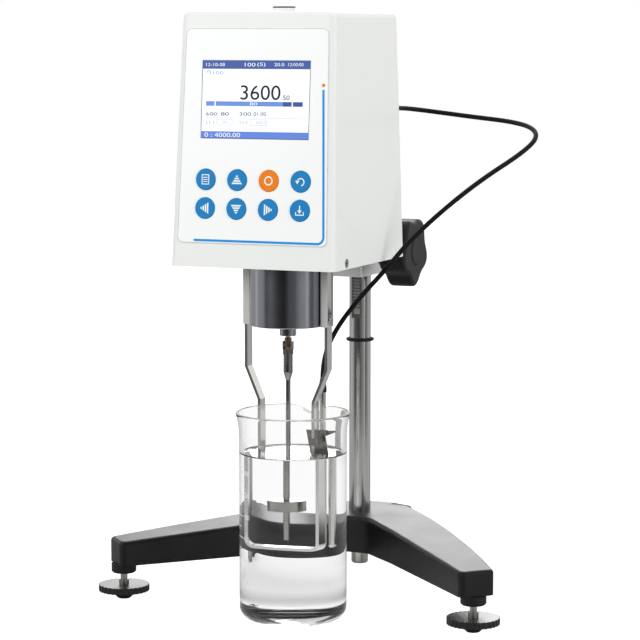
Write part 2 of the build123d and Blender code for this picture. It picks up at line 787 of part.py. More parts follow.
def guard_strip():
    """Flat stainless strip bent into a long U round the spindle."""
    outer = guard_line(0)
    inner = guard_line(guard_thick)
    right = outer + [(-x, z) for x, z in reversed(outer)]
    left = inner + [(-x, z) for x, z in reversed(inner)]
    solid_face = make_face(Polyline(*right, close=True))
    hollow_face = make_face(Polyline(*left, close=True))
    solid_face = fillet([v for v in solid_face.vertices() if v.Y < guard_bottom + 0.1], guard_round)
    hollow_face = fillet([v for v in hollow_face.vertices() if v.Y < guard_bottom + guard_thick + 0.1],
                         guard_round - guard_thick)
    body = extrude(Plane.XZ * (solid_face - hollow_face), guard_wide / 2, both=True)
    for side in (-1, 1):
        body -= along_x(guard_screw_radius + running_gap, min(0, side * 40), max(0, side * 40), 0,
                        guard_screw_high)
    return spindle_axis * body


def guard_holders():
    """Channels that hang from the base plate and take the guard's upper ends."""
    pieces = []
    for side in (-1, 1):
        x0, x1 = side * holder_inner, side * holder_outer
        body = block(min(x0, x1), max(x0, x1), -holder_wide / 2, holder_wide / 2,
                     holder_low, head_low + 0.3 - touch_gap)
        groove0, groove1 = side * (guard_half_upper - guard_thick - touch_gap), side * 40
        body -= block(min(groove0, groove1), max(groove0, groove1), -guard_wide / 2 - touch_gap,
                      guard_wide / 2 + touch_gap, 0, head_low - 1.4)
        body -= along_x(guard_screw_radius, min(0, side * 40), max(0, side * 40), 0, guard_screw_high)
        pieces.append(spindle_axis * body)
    return Compound(children=pieces)


def guard_screws():
    pieces = []
    for side in (-1, 1):
        start = side * (guard_half_upper + touch_gap)
        stem = side * (holder_inner + 0.4)
        long = abs(start - stem)
        body = turned([(0, 0), (guard_screw_radius, 0), (guard_screw_radius, long), (guard_screw_head, long),
                       (guard_screw_head * 0.92, long + 1.0), (guard_screw_head * 0.6, long + 1.9),
                       (guard_screw_head * 0.25, long + 2.2), (0, long + 2.2)])
        pieces.append(spindle_axis * Pos(stem, 0, guard_screw_high) * Rot(0, side * 90, 0) * body)
    return Compound(children=pieces)


# ---------------------------------------------------------------- temperature probe
def probe_tube():
    body = rod(probe_radius, probe_tip, probe_high)
    body = fillet(body.edges().sort_by(Axis.Z)[:1], probe_radius * 0.8)
    return spindle_axis * Pos(probe_x, probe_y, 0) * body


def probe_clip():
    """Bent sheet clip: a slanted plate behind the guard, a ring on the probe, a hook on the guard."""
    leg_in = guard_half_lower - guard_thick
    front = guard_wide / 2 + seat_gap
    slant = 3.2
    left = leg_in - 7.2
    wide = 12.6
    face = Polyline((left + slant, clip_low), (left + slant + wide, clip_low), (left + wide, clip_high),
                    (left, clip_high), close=True)
    plate = Pos(0, front + clip_sheet, 0) * extrude(Plane.XZ * make_face(face), clip_sheet)
    ring_low = clip_high - 4.0
    ring = tube(probe_radius + 1.0, probe_radius, ring_low, clip_high, probe_x, probe_y)
    hook_y = -guard_wide / 2 - seat_gap
    hook_x = leg_in - seat_gap
    tongue_low, tongue_high = clip_high - 9.0, clip_high - 4.5
    hook = block(hook_x - clip_sheet, hook_x, hook_y - clip_sheet, front + clip_sheet, tongue_low, tongue_high)
    hook += block(hook_x - clip_sheet, hook_x + 4.0, hook_y - clip_sheet, hook_y, tongue_low, tongue_high)
    tab_x = probe_x + probe_radius + 0.6
    tab = Pos(0, probe_y + 0.5, 0) * extrude(Plane.XZ * make_face(Polyline(
        (tab_x, ring_low), (tab_x, clip_high - 0.5), (tab_x + 6.5, clip_high), (tab_x + 6.5, clip_high - 1.4),
        close=True)), clip_sheet)
    return spindle_axis * (plate + ring + hook + tab)


def probe_relief():
    body = turned([(0, probe_high), (relief_radius, probe_high), (relief_radius, probe_high + 3),
                   (cord_radius + 0.3, relief_high), (0, relief_high)])
    return spindle_axis * Pos(probe_x, probe_y, 0) * body


cord_route = [
    (38.0, 91.0, 332.5), (38.0, 104.0, 332.5), (44.0, 118.0, 331.2), (60.0, 124.0, 329.0),
    (86.0, 122.0, 326.2), (113.0, 115.0, 324.0), (133.0, 101.0, 320.8), (141.5, 86.0, 314.5),
    (134.5, 72.0, 304.5), (113.0, 54.5, 288.0), (91.0, 38.5, 267.5), (73.0, 27.0, 248.0),
    (61.0, 19.0, 231.0), (43.5, 15.0, 211.5), (28.0, 13.5, 191.0), (21.1, 8.0, 172.0),
    (21.1, 8.0, 158.5),
]


def cord_path():
    """Straight runs joined by arcs as large as the runs allow."""
    points = [Vector(x, y + spindle_y, z) for x, y, z in cord_route]
    radii = []
    for before, here, after in zip(points, points[1:], points[2:]):
        run_in, run_out = here - before, after - here
        turn = math.radians(run_in.get_angle(run_out))
        radii.append(0.45 * min(run_in.length, run_out.length) / math.tan(turn / 2))
    print("cord arc radii", [round(r, 1) for r in radii])
    return FilletPolyline(*points, radius=radii)


def probe_cord():
    path = cord_path()
    print("cord length", round(path.length, 1))
    start = Plane(origin=path @ 0, z_dir=path % 0)
    body = sweep(start * Circle(cord_radius), path=path)
    print("cord volume over section times length",
          round(body.volume / (math.pi * cord_radius ** 2 * path.length), 4))
    return body


def probe_socket():
    """Round panel socket with a flange and a threaded collar."""
    rear = rear_at(socket_high)
    body = along_y(probe_socket_radius - seat_gap / 2, rear - 14, rear + 1, 0, 0)
    body += along_y(probe_socket_radius + 2, rear + touch_gap + 0.2, rear + 2.2, 0, 0)
    body += along_y(probe_socket_radius - 1, rear + 2.2, rear + 6, 0, 0)
    return Pos(socket_x, 0, socket_high) * body


def probe_plug():
    start = rear_at(socket_high) + 6 + touch_gap
    body = along_y(plug_radius, start, start + plug_long, 0, 0)
    for k in range(5):
        y = start + 3 + 2.2 * k
        body -= along_y(plug_radius + 1, y, y + 0.8, 0, 0) - along_y(plug_radius - 0.4, y - 1, y + 2, 0, 0)
    end = spindle_y + cord_route[0][1]
    sleeve = Plane(origin=(0, start + plug_long, 0), z_dir=(0, 1, 0)) * Pos(0, 0, (end - start - plug_long) / 2) \
        * Cone(plug_radius - 1.2, cord_radius + 0.3, end - start - plug_long)
    return Pos(socket_x, 0, socket_high) * (body + sleeve)


# ---------------------------------------------------------------- level, inlet, beaker
def level_body():
    low = head_high + touch_gap
    body = tube(level_radius, vial_radius, low + 1.2, low + level_tall) + rod(level_radius, low, low + 1.2)
    body = chamfer(body.edges().sort_by(Axis.Z)[-1:], 0.3)
    return Pos(level_x, spindle_y + level_y, 0) * body


def level_vial():
    low = head_high + touch_gap + 1.2
    body = rod(vial_radius - touch_gap, low, low + level_tall - 1.2 - 0.4)
    return Pos(level_x, spindle_y + level_y, 0) * body


def rocker_place():
    y = rear_at(inlet_high) + 2.0
    return Pos(inlet_x, y, inlet_high + inlet_tall / 4)


def power_module():
    """Mains inlet and the well of the rocker switch, in one moulding."""
    rear = rear_at(inlet_high)
    z0, z1 = inlet_high - inlet_tall / 2, inlet_high + inlet_tall / 2
    half = inlet_wide / 2
    body = block(inlet_x - half + seat_gap, inlet_x + half - seat_gap, rear - inlet_deep, rear + 1,
                 z0 + seat_gap, z1 - seat_gap)
    body += block(inlet_x - half - 1.5, inlet_x + half + 1.5, rear + 0.8, rear + 2.8, z0 - 2, z1 + 2)
    well_mid = inlet_high + inlet_tall / 4
    body -= block(inlet_x - rocker_wide / 2 - 0.3, inlet_x + rocker_wide / 2 + 0.3, rear - 9, rear + 5,
                  well_mid - rocker_tall / 2 - 0.6, well_mid + rocker_tall / 2 + 0.6)
    socket_mid = inlet_high - inlet_tall / 4
    body -= block(inlet_x - 10, inlet_x + 10, rear - 13, rear + 5, socket_mid - 7.5, socket_mid + 7.5)
    for x, z in ((-6, 1.5), (0, -2.0), (6, 1.5)):
        body += block(inlet_x + x - 1, inlet_x + x + 1, rear - 14, rear - 3, socket_mid + z - 2.2,
                      socket_mid + z + 2.2)
    return body


def switch_rocker():
    """Rocker that tilts about X; its pivot lies inside the well."""
    half = rocker_tall / 2
    tilt = math.tan(math.radians(rocker_tilt))
    face = Polyline((-6.0, -half * 0.45), (0.4, -half), (0.6, 0), (0.4 + half * tilt, half),
                    (-1.5, half), (-6.0, half * 0.45), close=True)
    body = extrude(Plane.YZ * make_face(face), rocker_wide / 2, both=True)
    return rocker_place() * body


def beaker():
    wall = [(0, 0), (beaker_radius - beaker_foot_round, 0)]
    inner = beaker_radius - beaker_wall
    rim_in = rim_radius - 1.6
    outer_edge = [Line((0, 0), (beaker_radius - beaker_foot_round, 0)),
                  ThreePointArc((beaker_radius - beaker_foot_round, 0),
                                (beaker_radius - beaker_foot_round * (1 - math.sin(math.pi / 4)),
                                 beaker_foot_round * (1 - math.cos(math.pi / 4))),
                                (beaker_radius, beaker_foot_round)),
                  Line((beaker_radius, beaker_foot_round), (beaker_radius, beaker_tall - rim_drop)),
                  Line((beaker_radius, beaker_tall - rim_drop), (rim_radius, beaker_tall - 1.6)),
                  ThreePointArc((rim_radius, beaker_tall - 1.6), (rim_radius - 0.8, beaker_tall), (rim_in, beaker_tall - 1.0)),
                  Line((rim_in, beaker_tall - 1.0), (inner, beaker_tall - rim_drop)),
                  Line((inner, beaker_tall - rim_drop), (inner, beaker_floor + 3)),
                  Line((inner, beaker_floor + 3), (inner - 3, beaker_floor)),
                  Line((inner - 3, beaker_floor), (0, beaker_floor)),
                  Line((0, beaker_floor), (0, 0))]
    profile = Plane.XZ * make_face(outer_edge)
    return spindle_axis * Pos(beaker_x, beaker_y, 0) * revolve(profile, Axis.Z)


# ---------------------------------------------------------------- write the parts
def all_nodes():
    nodes = {
        "base_casting": base_casting(), "column": column(), "rack": rack(), "column_nut": column_nut(),
        "stop_ring": stop_ring(), "foot_collars": foot_collars(),
        "slide_block": slide_block(), "block_screws": block_screws(), "pinion_shaft": pinion_shaft(),
        "lift_knob": lift_knob(), "knob_cap": knob_cap(),
        "head_cover": head_cover(), "base_plate": base_plate(), "cover_screws": cover_screws(),
        "panel_overlay": panel_overlay(), "display_lens": display_lens(), "display_module": display_module(),
        "keypad_board": keypad_board(), "main_board": main_board(),
        "motor_bracket": motor_bracket(), "motor": motor(), "motor_spindle": motor_spindle(),
        "torsion_spring": torsion_spring(), "encoder_disc": encoder_disc(), "drive_shaft": drive_shaft(),
        "shaft_bearing": shaft_bearing(), "shroud": shroud(), "pivot_hub": pivot_hub(),
        "coupling": coupling(), "coupling_nut": coupling_nut(), "spindle": spindle(),
        "guard_strip": guard_strip(), "guard_holders": guard_holders(), "guard_screws": guard_screws(),
        "probe_tube": probe_tube(), "probe_clip": probe_clip(), "probe_relief": probe_relief(),
        "probe_cord": probe_cord(), "probe_socket": probe_socket(), "probe_plug": probe_plug(),
        "level_body": level_body(), "level_vial": level_vial(), "power_module": power_module(),
        "switch_rocker": switch_rocker(), "beaker": beaker(),
    }
    for name, (x, y) in feet.items():
        nodes["foot_screw_" + name] = foot_screw(x, y)
        nodes["foot_disc_" + name] = foot_disc(x, y)
    for name, (x, up) in key_places().items():
        nodes[name] = key_cap(x, up)
    return nodes


os.makedirs("parts", exist_ok=True)
for node_name, shape in all_nodes().items():
    export_step(shape, "parts/" + node_name + ".step")
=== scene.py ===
# %% [markdown]
# # A rotational viscometer, dressed for its portrait
# The frame is the finished construction: every solid part at its real place, in metres. This
# script gives those parts their surfaces, and adds what construction drawings leave out: print on
# the panel, the screen's picture, glass, liquid and the flexible lead. Nothing here moves or
# resizes a solid part.

# %% Load the frame
import bmesh
import bpy
import json
import math
from mathutils import Matrix, Vector


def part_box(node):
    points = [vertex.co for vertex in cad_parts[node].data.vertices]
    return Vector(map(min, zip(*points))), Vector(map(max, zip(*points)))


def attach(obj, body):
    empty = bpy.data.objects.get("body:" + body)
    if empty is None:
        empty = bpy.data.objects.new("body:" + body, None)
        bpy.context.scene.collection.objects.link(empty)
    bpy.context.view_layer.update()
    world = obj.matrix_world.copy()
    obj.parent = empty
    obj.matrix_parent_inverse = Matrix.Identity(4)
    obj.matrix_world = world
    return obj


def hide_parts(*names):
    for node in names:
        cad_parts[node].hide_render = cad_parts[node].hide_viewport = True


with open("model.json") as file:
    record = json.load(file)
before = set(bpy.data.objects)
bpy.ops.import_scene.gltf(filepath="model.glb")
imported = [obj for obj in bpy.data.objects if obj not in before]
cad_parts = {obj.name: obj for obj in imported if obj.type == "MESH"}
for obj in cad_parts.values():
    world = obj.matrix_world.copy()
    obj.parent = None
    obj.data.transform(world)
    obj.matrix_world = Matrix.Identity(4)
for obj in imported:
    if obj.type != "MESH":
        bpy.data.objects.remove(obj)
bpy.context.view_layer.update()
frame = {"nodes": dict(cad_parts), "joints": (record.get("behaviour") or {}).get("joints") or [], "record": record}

nodes = frame["nodes"]
joints = {joint["name"]: joint for joint in frame["joints"]}
scene = bpy.context.scene
MM = 0.001


def linked(name, data):
    """An object for this data, put in the scene at the origin."""
    made = bpy.data.objects.new(name, data)
    scene.collection.objects.link(made)
    return made


def plain_mesh(made):
    """The shape that an object's curve, text or modifiers work out to, as a mesh of its own."""
    bpy.context.view_layer.update()
    return bpy.data.meshes.new_from_object(made.evaluated_get(bpy.context.evaluated_depsgraph_get()))


# %% [markdown]
# ## The camera comes first
# A long lens from about a metre and a half keeps the head's uprights almost parallel, as a product
# picture does. The camera looks a little down and across from the right, so it also fixes which
# faces need care.

# %% Camera
EYE = Vector((0.6334, -1.5410, 0.3827))
HEADING, DIP = math.radians(22.664), math.radians(6.638)
LENS = 138.6
camera_data = bpy.data.cameras.new("camera")
camera_data.sensor_fit, camera_data.sensor_width, camera_data.lens = "HORIZONTAL", 36.0, LENS
camera = linked("camera", camera_data)
camera.location = EYE
camera.rotation_euler = (math.pi / 2 - DIP, 0, HEADING)
scene.camera = camera
print("camera", round(math.degrees(HEADING), 1), "degrees round,", round(math.degrees(DIP), 1), "down")

# %% [markdown]
# ## Shader maths as ordinary expressions
# A node tree is a sum written in boxes. Wrapping a socket in a small class lets Python's own
# operators add the Math nodes, so a mask reads as a formula: `edge * (1 - wear)`.


# %% A socket that can be calculated with
class Value:
    """A number that varies over a surface; operators on it add Math nodes."""

    def __init__(self, tree, socket):
        self.tree, self.socket = tree, socket

    def math(self, operation, *values):
        node = self.tree.nodes.new("ShaderNodeMath")
        node.operation = operation
        for place, value in zip(node.inputs, values):
            plug(self.tree, place, value)
        return Value(self.tree, node.outputs[0])

    def __add__(self, other):
        return self.math("ADD", self, other)

    def __sub__(self, other):
        return self.math("SUBTRACT", self, other)

    def __rsub__(self, other):
        return self.math("SUBTRACT", other, self)

    def __mul__(self, other):
        return self.math("MULTIPLY", self, other)

    def __truediv__(self, other):
        return self.math("DIVIDE", self, other)

    def __gt__(self, other):
        return self.math("GREATER_THAN", self, other)

    def __lt__(self, other):
        return self.math("LESS_THAN", self, other)

    __radd__, __rmul__ = __add__, __mul__


def plug(tree, place, value):
    """Feeds a node's input with another node's output or with a plain value."""
    if isinstance(value, Value):
        tree.links.new(value.socket, place)
    elif hasattr(value, "links"):
        tree.links.new(value, place)
    else:
        place.default_value = value


# %% [markdown]
# ## One way to start a finish
# Every finish is a Principled shader with a few habits: it reads Object coordinates, so a pattern
# stays on its part when the part moves, and whatever is the same all over is set straight on the
# shader's socket.


# %% Finishes
MIX_PLACES, MIX_RESULT = (0, 6, 7), 2   # a Mix node's factor and two colours, and its colour output


def colour(code, alpha=1.0):
    """A colour written as on a screen, such as "2f6fb0", in the renderer's linear numbers."""
    parts = [int(code[k:k + 2], 16) / 255 for k in (0, 2, 4)]
    linear = [c / 12.92 if c <= 0.04045 else ((c + 0.055) / 1.055) ** 2.4 for c in parts]
    return (*linear, alpha)


class Finish:
    """A material being made: its tree, its shader and short ways to add nodes."""

    def __init__(self, name, base, rough, **sockets):
        self.material = bpy.data.materials.new(name)
        self.material.use_nodes = True
        self.tree = self.material.node_tree
        self.shader = self.tree.nodes["Principled BSDF"]
        self.place = self.tree.nodes.new("ShaderNodeTexCoord").outputs["Object"]
        self.set("Base Color", colour(base))
        self.set("Roughness", rough)
        for socket, value in sockets.items():
            self.set(socket.replace("_", " "), value)

    def set(self, socket, value):
        plug(self.tree, self.shader.inputs[socket], value)

    def node(self, kind, settings=(), output=0, **inputs):
        """Any node: its settings first, then its inputs by name, with _ for a space."""
        node = self.tree.nodes.new(kind)
        for setting, value in dict(settings).items():
            setattr(node, setting, value)
        for name, value in inputs.items():
            plug(self.tree, node.inputs[name.replace("_", " ")], value)
        return Value(self.tree, node.outputs[output])

    def noise(self, per_mm, detail=3.0, stretch=(1, 1, 1)):
        """Soft noise with about per_mm features to a millimetre, drawn out by stretch."""
        spot = self.node("ShaderNodeMapping", Vector=self.place, Scale=stretch)
        return self.node("ShaderNodeTexNoise", Vector=spot, Scale=per_mm / MM, Detail=detail)

    def axes(self):
        split = self.tree.nodes.new("ShaderNodeSeparateXYZ")
        self.tree.links.new(self.place, split.inputs[0])
        return [Value(self.tree, socket) for socket in split.outputs]

    def blend(self, factor, first, second):
        """A colour between two, by factor."""
        mix = self.tree.nodes.new("ShaderNodeMix")
        mix.data_type = "RGBA"
        for place, value in zip(MIX_PLACES, (factor, first, second)):
            plug(self.tree, mix.inputs[place], value)
        return Value(self.tree, mix.outputs[MIX_RESULT])

    def bump(self, height, depth_mm, strength=1.0):
        self.set("Normal", self.node("ShaderNodeBump", Height=height, Distance=depth_mm * MM,
                                     Strength=strength))
        return self


# %% [markdown]
# ## Paint, plastic and rubber
# Moulded and painted surfaces differ less in colour than in how their skin breaks the light:
# sprayed paint has a soft orange peel, a casting under enamel is coarser, rubber is dull and
# slightly dusty on its edges.


# %% Painted and moulded finishes
def skin(name, base, rough, grain_per_mm, grain_deep, spread=0.06, tint=0.0, **sockets):
    """A painted or moulded surface: fine relief, and a gloss that wanders a little."""
    made = Finish(name, base, rough, **sockets)
    cloud = made.noise(0.03, 4)
    made.set("Roughness", rough + (cloud - 0.5) * spread)
    if tint:
        light, dark = colour(base), tuple(c * (1 - tint) for c in colour(base)[:3]) + (1.0,)
        made.set("Base Color", made.blend(cloud, light, dark))
    return made.bump(made.noise(grain_per_mm), grain_deep).material


DOME_TOP, LEVEL_LINE = 0.0052, 0.0009


def wheel_and_dome():
    """Knurled hand wheel in satin black over a matt rubber dome, told apart by height."""
    made = Finish("disc_black", "141516", 0.35)
    dome = made.axes()[2] < DOME_TOP
    made.set("Roughness", 0.33 + dome * 0.4)
    made.set("Base Color", made.blend(dome, colour("191a1b"), colour("0d0d0d")))
    return made.bump(made.noise(0.8), 0.02).material


def level_housing():
    """Clear moulding with a black top line, told apart by height."""
    made = Finish("level_ring", "e9ebe8", 0.3, Specular_IOR_Level=0.3)
    top = made.axes()[2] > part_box("level_body")[1][2] - LEVEL_LINE
    made.set("Base Color", made.blend(top, colour("eceeeb"), colour("17181a")))
    return made.bump(made.noise(1.5), 0.005).material


def side_screws(border):
    """Plated screws at the front, and painted over with the cover at the rear."""
    made = Finish("side_screws", "b0afab", 0.35)
    painted = made.axes()[1] > border
    made.set("Metallic", 1 - painted)
    made.set("Base Color", made.blend(painted, colour("a5a4a0"), colour("eef0ed")))
    return made.bump(made.noise(1.5), 0.005).material


finishes = {
    "head_paint": skin("head_paint", "eef0ed", 0.42, 0.5, 0.012, tint=0.015, Coat_Weight=0.15),
    "overlay_film": skin("overlay_film", "f6f8f7", 0.34, 2.5, 0.003, tint=0.008),
    "black_enamel": skin("black_enamel", "0b0c0f", 0.42, 0.35, 0.05, spread=0.12, tint=0.3,
                         Specular_IOR_Level=0.35),
    "black_plastic": skin("black_plastic", "0f1012", 0.5, 1.2, 0.02, spread=0.1, tint=0.2,
                          Specular_IOR_Level=0.35),
    "black_rubber": skin("black_rubber", "0d0d0e", 0.7, 1.5, 0.02, spread=0.1, Specular_IOR_Level=0.3),
    "cord_black": skin("cord_black", "08090b", 0.55, 1.5, 0.01, spread=0.1, Specular_IOR_Level=0.25),
    "module_black": skin("module_black", "191a1c", 0.6, 1.0, 0.02),
    "circuit_board": skin("circuit_board", "0f5a2c", 0.35, 0.4, 0.01, tint=0.3),
    "key_blue": skin("key_blue", "0080c2", 0.35, 2.5, 0.003, spread=0.04, Specular_IOR_Level=0.12),
    "key_orange": skin("key_orange", "f08000", 0.35, 2.5, 0.003, spread=0.04, Specular_IOR_Level=0.12),
    "level_ring": level_housing(),
    "display": skin("display", "eef3fb", 0.12, 2.5, 0.001, spread=0.02, Emission_Strength=0.25,
                    Emission_Color=colour("eef3fb")),
    "disc_black": wheel_and_dome(),
}
print("painted and moulded:", len(finishes))

# %% [markdown]
# ## Metals
# Machining leaves its direction in the metal. Noise that is stretched along one axis gives fine
# lines that run with the turning, the drawing or the brushing, and the same lines shift the gloss.


# %% Metals
def metal(name, base, rough, lines=(1, 1, 1), deep=0.004, spread=0.1, lines_per_mm=1.0, smut="000000",
          smut_share=0.12):
    """Bare metal with tool lines drawn out along an axis, and faint cloudy tarnish."""
    made = Finish(name, base, rough, Metallic=1.0)
    marks = made.noise(lines_per_mm, 2, lines)
    cloud = made.noise(0.05, 4)
    made.set("Roughness", rough + (marks - 0.5) * spread + (cloud - 0.5) * 0.08)
    made.set("Base Color", made.blend(cloud * smut_share, colour(base), colour(smut)))
    return made.bump(marks, deep).material


TURNED, DRAWN = (0.05, 0.05, 3), (3, 3, 0.05)
finishes.update({
    "column_chrome": metal("column_chrome", "d9dad8", 0.16, DRAWN, 0.001, 0.05),
    "rack_steel": metal("rack_steel", "a9a9a7", 0.34, (0.2, 3, 3), 0.004),
    "zinc_steel": metal("zinc_steel", "b9b8b2", 0.36, (1, 1, 1), 0.004, smut="6b675c", smut_share=0.3),
    "block_aluminium": metal("block_aluminium", "eceded", 0.5, (1, 1, 1), 0.006, 0.15, 2.5),
    "shroud_steel": metal("shroud_steel", "b9bbc2", 0.2, TURNED, 0.003, 0.07),
    "guard_steel": metal("guard_steel", "e6e5e2", 0.2, DRAWN, 0.002, 0.08),
    "bronze": metal("bronze", "8f705f", 0.34, TURNED, 0.003, smut="3a2418", smut_share=0.4),
    "spring_bronze": metal("spring_bronze", "c49a4c", 0.3),
})
print("with metals:", len(finishes))

# %% [markdown]
# ## Glass, spirit and liquid
# Clear things are told by what they bend. Each is a closed body with its own index, and the liquid
# is made a hair larger than the beaker's bore, so that light passes from glass to liquid with no
# film of air between.


# %% Clear finishes
def clear(name, base, index, rough=0.0, **sockets):
    return Finish(name, base, rough, Transmission_Weight=1.0, IOR=index,
                  Specular_Tint=(0.2, 0.2, 0.2, 1.0), **sockets).material


finishes.update({
    "beaker_glass": clear("beaker_glass", "ffffff", 1.47),
    "level_vial": clear("level_vial", "d8ecc0", 1.4, 0.02),
})
liquid_finish = clear("liquid", "ffffff", 1.38)
rim_finish = Finish("beaker_rim", "dfe4d8", 0.35, Transmission_Weight=0.45, IOR=1.2,
                    Specular_IOR_Level=0.3)
rim_finish.bump(rim_finish.noise(0.6), 0.01)

for part in frame["record"]["subparts"]:
    for place in nodes[part["node"]].material_slots:
        place.material = finishes[part["material_slot"]]

# %% [markdown]
# ## Pieces that differ from their kind
# A few pieces share a metal's name and still look different: cast holders, a disc whose steel is painted darker as
# painted shade for the dark reflections it shows, a grimy knurled nut, and rear screws that were sprayed over with
# the cover. They get a finish of their own after the rest.

# %% Single finishes
SINGLE_FINISHES = {
    "guard_holders": metal("holder_cast", "dcdcda", 0.55, (1, 1, 1), 0.03, 0.2, 1.2),
    # painted shade: the spindle's steel is darker and smuttier than the other steels, standing in for the dark
    # reflections on its disc
    "spindle": metal("spindle_steel_painted_dark", "b3b2ae", 0.2, TURNED, 0.002, 0.06, smut="3a3935",
                     smut_share=0.3),
    "coupling_nut": metal("nut_steel", "a9a7a2", 0.28, TURNED, 0.01, 0.1, smut="2c2a27",
                          smut_share=0.5),
    "probe_clip": metal("clip_steel", "a8a5a0", 0.16, DRAWN, 0.002, 0.06),
    "cover_screws": side_screws(joints["motor_turn"]["pos_m"][1]),
}
for node, material in SINGLE_FINISHES.items():
    for place in nodes[node].material_slots:
        place.material = material
print("own finish:", ", ".join(SINGLE_FINISHES))

# %% [markdown]
# ## The lead
# The probe's lead leaves its plug straight, sweeps out wide of the head and comes back down behind
# the guard. A cord this thin holds its own curve, so one smooth spline through a few chosen points
# is its whole shape.

# %% Probe lead
SPINDLE_Y = joints["motor_turn"]["pos_m"][1]
LEAD_THICK = 3.2 * MM
LEAD_ROUTE = [
    (38.0, 91.0, 332.5), (38.0, 104.0, 332.5), (44.0, 118.0, 331.2), (60.0, 124.0, 329.0),
    (86.0, 122.0, 326.2), (113.0, 115.0, 324.0), (133.0, 101.0, 320.8), (141.5, 86.0, 314.5),
    (134.5, 72.0, 304.5), (113.0, 54.5, 288.0), (91.0, 38.5, 267.5), (73.0, 27.0, 248.0),
    (61.0, 19.0, 231.0), (43.5, 15.0, 211.5), (28.0, 13.5, 191.0), (21.1, 8.0, 172.0),
    (21.1, 8.0, 158.5),
]
lead_points = [Vector((x * MM, y * MM + SPINDLE_Y, z * MM)) for x, y, z in LEAD_ROUTE]


def spline_curve(name, points, thick):
    """A round cord along one smooth spline."""
    data = bpy.data.curves.new(name, "CURVE")
    data.dimensions, data.bevel_depth, data.bevel_resolution = "3D", thick / 2, 4
    data.use_fill_caps, data.resolution_u = True, 16
    spline = data.splines.new("NURBS")
    spline.points.add(len(points) - 1)
    for point, spot in zip(spline.points, points):
        point.co = (*spot, 1.0)
    spline.order_u, spline.use_endpoint_u = 3, True
    return linked(name, data)


def length_of(made):
    """Length of a curve's own line."""
    thin = made.data.copy()
    thin.bevel_depth = 0
    probe = linked("measure", thin)
    line = plain_mesh(probe)
    total = sum((line.vertices[e.vertices[0]].co - line.vertices[e.vertices[1]].co).length
                for e in line.edges)
    bpy.data.objects.remove(probe)
    return total


lead = spline_curve("lead", lead_points, LEAD_THICK)
lead.data.materials.append(finishes["cord_black"])
lead_length = length_of(lead)
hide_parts("probe_cord")
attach(lead, "head")
print("lead", round(lead_length, 4), "m")

# %% [markdown]
# ## A ruler for the sloping front
# The panel leans back, and its keys press straight into it. The keys' joint axis is therefore the
# panel's own normal, and every printed shape can be given in plain millimetres across and up the
# panel.

# %% Panel ruler
INTO = Vector(joints["key_ok_press"]["axis"])
OUT = -INTO
UP = Vector((0, OUT.z, -OUT.y))
FILM_LOW, FILM_HIGH = 15.3, 150.6
film_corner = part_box("panel_overlay")[0]
FILM_EDGE = Vector((0, film_corner.y, film_corner.z))


def on_panel(across, up, out=0.0):
    """A point on the printed film: mm across, mm up the panel, mm in front of the film's face."""
    return FILM_EDGE + (Vector((across, 0, 0)) + UP * (up - FILM_LOW) + OUT * out) * MM


def panel_place(spot):
    """The reverse, for a point in space: mm across, up and out."""
    away = (Vector(spot) - FILM_EDGE) / MM
    return away.x, away.dot(UP) + FILM_LOW, away.dot(OUT)


def middle(node):
    low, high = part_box(node)
    return (Vector(low) + Vector(high)) / 2


print("keys stand", round(panel_place(middle("key_ok"))[2], 2), "mm out at their middle")


# %% [markdown]
# ## Print as thin solid inlays
# Ink has a thickness, if a tiny one. Each printed shape is a closed slice a few hundredths of a
# millimetre thick, so it has crisp edges from any distance and needs no image.


# %% Inlays
def inlay(name, groups, floor, rise, place=on_panel):
    """Closed slices from groups of (finish, outlines); each outline goes round once."""
    vertices, faces, kinds = [], [], []
    for kind, (_, outlines) in enumerate(groups):
        for outline in outlines:
            corners = zip(outline, outline[1:] + outline[:1])
            area = sum(a[0] * b[1] - b[0] * a[1] for a, b in corners)
            ring = outline if area > 0 else outline[::-1]
            start, count = len(vertices), len(ring)
            for height in (floor, floor + rise):
                vertices += [place(x, y, height) for x, y in ring]
            faces.append(list(range(start + count, start + 2 * count)))
            faces.append(list(range(start, start + count))[::-1])
            for k in range(count):
                after = (k + 1) % count
                faces.append([start + k, start + after, start + count + after, start + count + k])
            kinds += [kind] * (count + 2)
    mesh = bpy.data.meshes.new(name)
    mesh.from_pydata(vertices, [], faces)
    for finish, _ in groups:
        mesh.materials.append(finish)
    mesh.polygons.foreach_set("material_index", kinds)
    mesh.update()
    return linked(name, mesh)


def oblong(x0, x1, y0, y1):
    return [(x0, y0), (x1, y0), (x1, y1), (x0, y1)]


def arc(x, y, radius, start, end, steps=12):
    """Points along an arc, with angles in degrees."""
    turns = [math.radians(start + (end - start) * k / steps) for k in range(steps + 1)]
    return [(x + radius * math.cos(t), y + radius * math.sin(t)) for t in turns]


def disc(x, y, radius, steps=32):
    return arc(x, y, radius, 0, 360 * (steps - 1) / steps, steps - 1)


def ring_sector(x, y, inner, outer, start, end, steps=24):
    return arc(x, y, outer, start, end, steps) + arc(x, y, inner, end, start, steps)


def band(points, wide):
    """A line of constant width along points, as one outline."""
    left, right = [], []
    for k, (x, y) in enumerate(points):
        x0, y0 = points[max(k - 1, 0)]
        x1, y1 = points[min(k + 1, len(points) - 1)]
        long = math.hypot(x1 - x0, y1 - y0)
        nx, ny = -(y1 - y0) / long * wide / 2, (x1 - x0) / long * wide / 2
        left.append((x + nx, y + ny))
        right.append((x - nx, y - ny))
    return left + right[::-1]


def ink(name, code, rough=0.35, glow=0.0):
    """Printed colour; with glow it is lit from behind, as a screen is."""
    made = Finish("ink_" + name, code, rough, Specular_IOR_Level=0.15)
    if glow:
        made.set("Emission Color", colour(code))
        made.set("Emission Strength", glow)
    return made.bump(made.noise(3.0), 0.002).material
